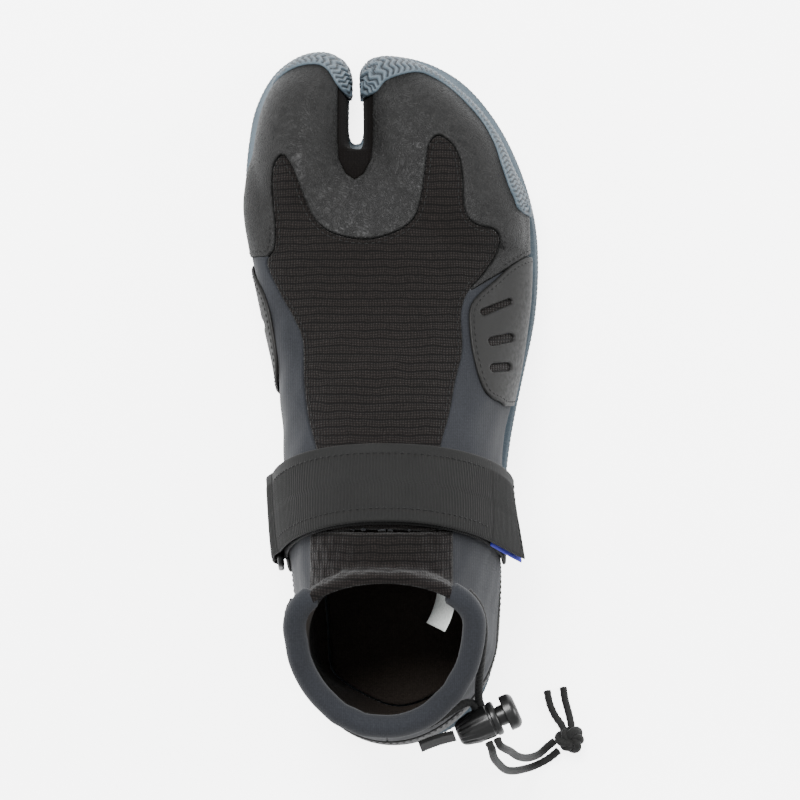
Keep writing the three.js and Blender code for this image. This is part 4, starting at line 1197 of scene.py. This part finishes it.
webbing_loop = ribbon("ring_webbing_loop", [
    (0, 30.5, lower_height), (0, 20, lower_height), (0, 10, lower_height), (0, 8.3, 1.7), (0, 7.5, 2.7),
    (0, 7.3, 4.0), (0, 7.6, 5.4), (0, 8.6, 6.4), (0, 11, 6.7), (0, 14, 6.2), (0, 16.5, 4.8), (0, 19, 3.2)],
    15, 1.6, tape_black)
finish_piece(webbing_loop, "webbing", "ring_webbing")

# ---- Cord lock ----
# A moulded barrel on the drawcord behind the outer ankle. A sprung plunger in it has a hole across: pressed in,
# its hole lines up with the barrel's and the cord runs free.
lock_place, lock_turn = np.array([30, -125.5, 79.0]), math.radians(24)
hole_x, hole_length, hole_height, lock_travel = 3, 7.2, 3.6, 2.5


def in_lock(points):
    """Points given along and across the lock's own axis, placed on the boot."""
    return turned_about(*np.moveaxis(np.asarray(points, float), -1, 0), lock_turn, lock_place)


def lathe(name, profile, flutes=0.0):
    """A solid of revolution along the lock's axis. A profile row is a place, a radius and a share of the flutes."""
    sides, flute_count = 64, 16
    angle = np.linspace(0, 2 * np.pi, sides, endpoint=False)
    points = []
    for x, radius, fluted in profile:
        r = radius - fluted * flutes * (0.5 + 0.5 * np.cos(flute_count * angle)) ** 2
        points.append(np.stack([np.full(sides, x), r * np.cos(angle), r * np.sin(angle)], 1))
    faces = ring_faces(len(profile), sides)
    faces += [tuple(range(sides)), tuple(range((len(profile) - 1) * sides, len(profile) * sides))[::-1]]
    return face_outwards(add_mesh(name, in_lock(np.concatenate(points)), faces, [black_plastic]))


def cut_hole(solid, shift):
    """Cuts the cord's hole across a part of the lock."""
    corners = [(hole_x + shift + i * hole_length / 2, j * 20, k * hole_height / 2)
               for i in (-1, 1) for j in (-1, 1) for k in (-1, 1)]
    box_faces = [(0, 1, 3, 2), (4, 6, 7, 5), (0, 4, 5, 1), (2, 3, 7, 6), (0, 2, 6, 4), (1, 5, 7, 3)]
    box = face_outwards(add_mesh("hole", in_lock(corners), box_faces, [], smooth=False))
    cut = solid.modifiers.new("cut", "BOOLEAN")
    cut.object, cut.operation = box, "DIFFERENCE"
    solid.data = mesh_of(solid)
    bpy.data.objects.remove(box)
    solid.data.shade_smooth()
    solid.data.set_sharp_from_angle(angle=math.radians(38))


barrel = lathe("cord_lock_barrel", [
    (-6.4, 0.1, 0), (-6.4, 4.3, 0), (8.5, 4.3, 0), (8.5, 5.9, 0), (8.25, 6.45, 0), (7.7, 6.8, 0), (6.3, 6.8, 0),
    (5.9, 6.35, 0), (5.3, 6.35, 0), (4.9, 6.7, 0), (-1.5, 6.4, 0.4), (-3.6, 5.9, 1), (-6.0, 5.3, 1), (-7.2, 4.8, 1),
    (-8.0, 4.1, 0.4), (-8.4, 3.2, 0), (-8.5, 2.0, 0), (-8.5, 0.1, 0)], flutes=0.55)
cut_hole(barrel, 0)
finish_piece(barrel, "black_plastic", "cord_lock_body")
plunger = lathe("cord_lock_plunger_head", [
    (-2, 0.1, 0), (-2, 3.6, 0), (-1.6, 4.0, 0), (11.4, 4.0, 0), (11.4, 6.6, 0), (11.7, 7.0, 0), (14.2, 7.0, 0),
    (14.9, 6.85, 0), (15.6, 6.4, 0), (16.2, 5.6, 0), (16.5, 4.6, 0), (16.5, 3.6, 0), (16.2, 2.8, 0),
                                           (16.1, 0.1, 0)])
cut_hole(plunger, lock_travel)
finish_piece(plunger, "black_plastic", "cord_lock_plunger", body="plunger")
steel = mottled(Finish("spring steel", 0.3, metallic=1.0), 1.5, 2, (0.3, 0.7), (0.35, 0.35, 0.36), (0.5, 0.5, 0.52))
coil = np.linspace(0, 1, 60)
coil_turns, coil_radius = 4, 2.9
coil_angle = coil * coil_turns * 2 * np.pi
coil_line = in_lock(np.stack([-6.0 + 3.6 * coil, coil_radius * np.cos(coil_angle),
                              coil_radius * np.sin(coil_angle)], 1))
spring, _ = tube("cord_lock_coil", coil_line, 0.35, steel, sides=8, step=0.4)
finish_piece(spring, "spring_steel", "cord_lock_spring")
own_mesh(spring)

# ---- Drawcord ----
# Round braided cord, 3.2 mm thick. It comes out beside the throat flap, runs under the collar roll on both
# sides, goes through the lock, and its two ends hang down to the ground, tied together in a knot.
braid = mottled(Finish("black braided cord", 0.75, sheen=0.1, specular=0.2), 1.6, 3, (0.3, 0.75),
                (0.006, 0.006, 0.0057), (0.014, 0.014, 0.0133), (3.0, 0.06, 0.6))
cord_radius, front_x, rear_x, entry = 1.5, 4.75, 1.25, 7.4
cord_drop = -7.0


def strand(name, line, *nodes, radius=cord_radius):
    piece, middle = tube(name, line, radius, braid, weave=0.12)
    finish_piece(piece, "cord", *nodes)
    return piece, middle


def under_roll(*places):
    """Points of the cord's line below the collar roll, by angle and offset."""
    return [topline_point(angle, offset, cord_drop) for angle, offset in places]


outer_run = under_roll((30, 1.2), (12, 1.4), (-6, 2.4), (-22, 4.0))
strand("drawcord_outer_run", outer_run + [in_lock((front_x, entry + 2.5, 1.5)), in_lock((front_x, entry - 4, 0))],
       "drawcord_lateral")
inner_run = under_roll(*((a, 1.2) for a in (-200, -182, -162, -142, -122, -102)), (-84, 2.4), (-66, 4.0))
strand("drawcord_inner_run", inner_run + [in_lock((rear_x - 1, entry + 2.5, 1.5)), in_lock((rear_x, entry - 4, 0))],
       "drawcord_medial")
knot_middle = np.array([69.6, -138.6, 4.7])


def knot_line(phase, size, lift):
    """A flattened overhand knot."""
    t = np.linspace(0, 2 * np.pi, 90)
    loop = turned_about(np.sin(t) + 1.6 * np.sin(2 * t), np.cos(t) - 1.6 * np.cos(2 * t), -np.sin(3 * t), phase, 0)
    return loop * (size * 0.62, size * 0.56, lift) + knot_middle


knot_a, _ = strand("cord_knot_first_strand", knot_line(0.4, 3.1, 2.2), "cord_knot")
knot_b, _ = strand("cord_knot_second_strand", knot_line(1.5, 2.6, 1.7), radius=1.4)
end_long, _ = strand("cord_end_long_strand", [
    (67.2, -135.4, 4.2), (65.8, -132.4, 3.4), (63.6, -129.4, 2.4), (61.4, -124.6, 2), (60.2, -119, 2)],
    "cord_end_long", radius=1.45)
end_short, _ = strand("cord_end_short_strand", [
    (70, -135.2, 4.2), (70, -132.9, 3.6), (69, -128, 2.4), (67.6, -122.8, 2), (66.8, -117.6, 2)],
    "cord_end_short", radius=1.45)
outer_tail = [(36.4, -138.6, 70), (38.6, -142.4, 58), (41.8, -146.6, 42), (45.6, -149, 26), (50, -150, 12),
              (54.6, -149.6, 4.4), (60.4, -147, 2.2), (64.8, -143.4, 3.2)]
inner_tail = [(41, -135.4, 70), (43.2, -137.6, 58), (46.4, -141.2, 42), (50, -143.8, 26), (53.8, -145, 12),
              (57.2, -144.4, 4.6), (60.2, -142, 2.4), (63, -139.6, 3.6)]
for name, node, hole, hanging, with_pieces in (
        ("cord_tail_outer_strand", "cord_tail_outer", rear_x, outer_tail, [knot_a, knot_b, end_long, end_short]),
        ("cord_tail_inner_strand", "cord_tail_inner", front_x, inner_tail, [knot_a])):
    tail, line = strand(name, [in_lock((hole, -entry, 0)), in_lock((hole, -entry - 3, -1)), *hanging], node)

# ---- Heel tab ----
# A short doubled piece of webbing, 14 mm long and 8 mm high, in black.
# It is sewn into the back of the collar beside the cord lock.
tab_middle, tab_turn, tab_length, tab_height = (14, -129.5, 88), math.radians(18), 14, 8
x, z = np.meshgrid(np.linspace(-tab_length / 2, tab_length / 2, 29),
                   np.linspace(-tab_height / 2, tab_height / 2, 7),
                   indexing="ij")
i = np.arange(29)[:, None]
bend = 0.4 * np.sin(i / 9) - 0.5 * (tab_height / 2 - z) + 1
heel_tab = double_sheet("heel_tab_webbing", [
    turned_about(x, bend + side * (0.6 + 0.08 * np.cos(i * np.pi)), z, tab_turn, tab_middle)
    for side in (-1, 1)], tape_black)
finish_piece(heel_tab, "webbing", "heel_webbing_tab")

# ---- Stitches ----
# Black polyester lockstitch, about ten stitches to the inch, sunk a little into the cloth. It runs beside every
# panel edge, round both overlays and along the strap.
thread = mottled(Finish("black thread", 0.6, sheen=0.05, specular=0.15), 3.0, 2, (0.3, 0.7), (0.003, 0.003, 0.003),
                 (0.009, 0.009, 0.0086))
stitch_pitch, stitch_length, thread_radius, stitch_sides = 2.6, 1.9, 0.24, 6
stitch_points = []
for x, r in ((-0.5, 0.3), (-0.4, 0.85), (0, 1.15), (0.4, 0.85), (0.5, 0.3)):
    for a in np.arange(stitch_sides) * 2 * np.pi / stitch_sides:
        stitch_points.append((x * stitch_length, r * thread_radius * math.cos(a),
                              r * thread_radius * math.sin(a) - 0.35 * (2 * x) ** 4))
stitch_faces = ring_faces(5, stitch_sides)
stitch_faces += [tuple(range(stitch_sides))[::-1], tuple(range(4 * stitch_sides, 5 * stitch_sides))]
stitch = face_outwards(add_mesh("stitch", stitch_points, stitch_faces, []))


def sew(name, rows, body):
    """One mesh of stitches along rows of points and normals. Each entry of rows is a height and its lines."""
    places, turns = [], []
    for height, lines in rows:
        for line in lines:
            line = even_spacing(line, stitch_pitch)
            for start, end in zip(line[:-1], line[1:]):
                normal, run = Vector(start[3:] + end[3:]).normalized(), Vector(end[:3] - start[:3]).normalized()
                across = normal.cross(run).normalized()
                turns.append(tuple(Matrix((run, across, run.cross(across))).transposed().to_euler()))
                places.append((start[:3] + end[:3]) / 2 + np.array(normal) * height)
    copies(name, stitch, places, turns, thread, body, "webbing")


def where(lines, rule):
    """The parts of the lines whose points pass a rule."""
    kept = []
    for line in lines:
        good = rule(line)
        start = None
        for i in range(len(line) + 1):
            if i < len(line) and good[i]:
                start = i if start is None else start
            elif start is not None:
                if i - start > 6:
                    kept.append(line[start:i])
                start = None
    return kept


def rows_between(low, high):
    """Rows of points and normals, from points and the same points one millimetre further out."""
    return np.concatenate([low, high - low], 1)


roll_seam = [np.concatenate([topline_point(angle, -5.2, -2.6),
                             topline_point(angle, -6, -2.2) - topline_point(angle, -5.2, -2.6)])
             for angle in np.arange(roll_start - 8, roll_end + 8, -2.0)]
loop_b = np.arange(-13, 13.1, 0.8)
loop_row = rows_between(*(on_strap(0, 13.2, loop_b, height) for height in (7.3, 8.3)))
boot_rows = [
    (instep_rise + 0.1, where(last.contour(in_instep, 1.9), lambda row: row[:, 1] > -16)),
    (toe_panel_rise + 0.05, where(last.contour(-in_gusset, 1.7), lambda row: (row[:, 2] > 24) & (row[:, 1] < 118))),
    (toe_panel_rise + 0.05, where(last.contour(in_toe, 2.0), lambda row: (
        (row[:, 1] < 70) & (row[:, 2] > 8) & (np.abs(row[:, 0] + 2) > 43)))),
    (counter_rise + 0.05, where(last.contour(in_counter, 2.0), lambda row: row[:, 2] > 8)),
    (0.1, [np.array(roll_seam)]),
    *((film_rise + 0.05, where(base.contour(whole, 1.9), lambda row: row[:, 2] > 10)) for base, whole in seams),
    (0.05, [loop_row]),
]
sew("boot_stitches", boot_rows, "boot")

tape_face = upper_height + 0.86
along = np.arange(12, strap_length - 3, 0.8)
strap_rows = []
for b in (-half_strap + 4.6, half_strap - 4.8):
    face = tape_face + upper_flare(along / strap_length, b)
    strap_rows.append(rows_between(*(on_strap_flat(along, np.full(len(along), b), face + up) for up in (0, 1))))
sew("strap_stitches", [(0.0, strap_rows)], "strap")
tip_length, tip_row = 27.5, 24.5
tip_b = np.arange(-13.5, 13.6, 0.8)
face = tape_face + tip_flare(tip_row / tip_length, tip_b)
sew("strap_end_stitches",
    [(0.1, [rows_between(*(on_strap(1, tip_row, tip_b, face + up) for up in (0, 1)))])], "tip")
bpy.data.objects.remove(stitch)
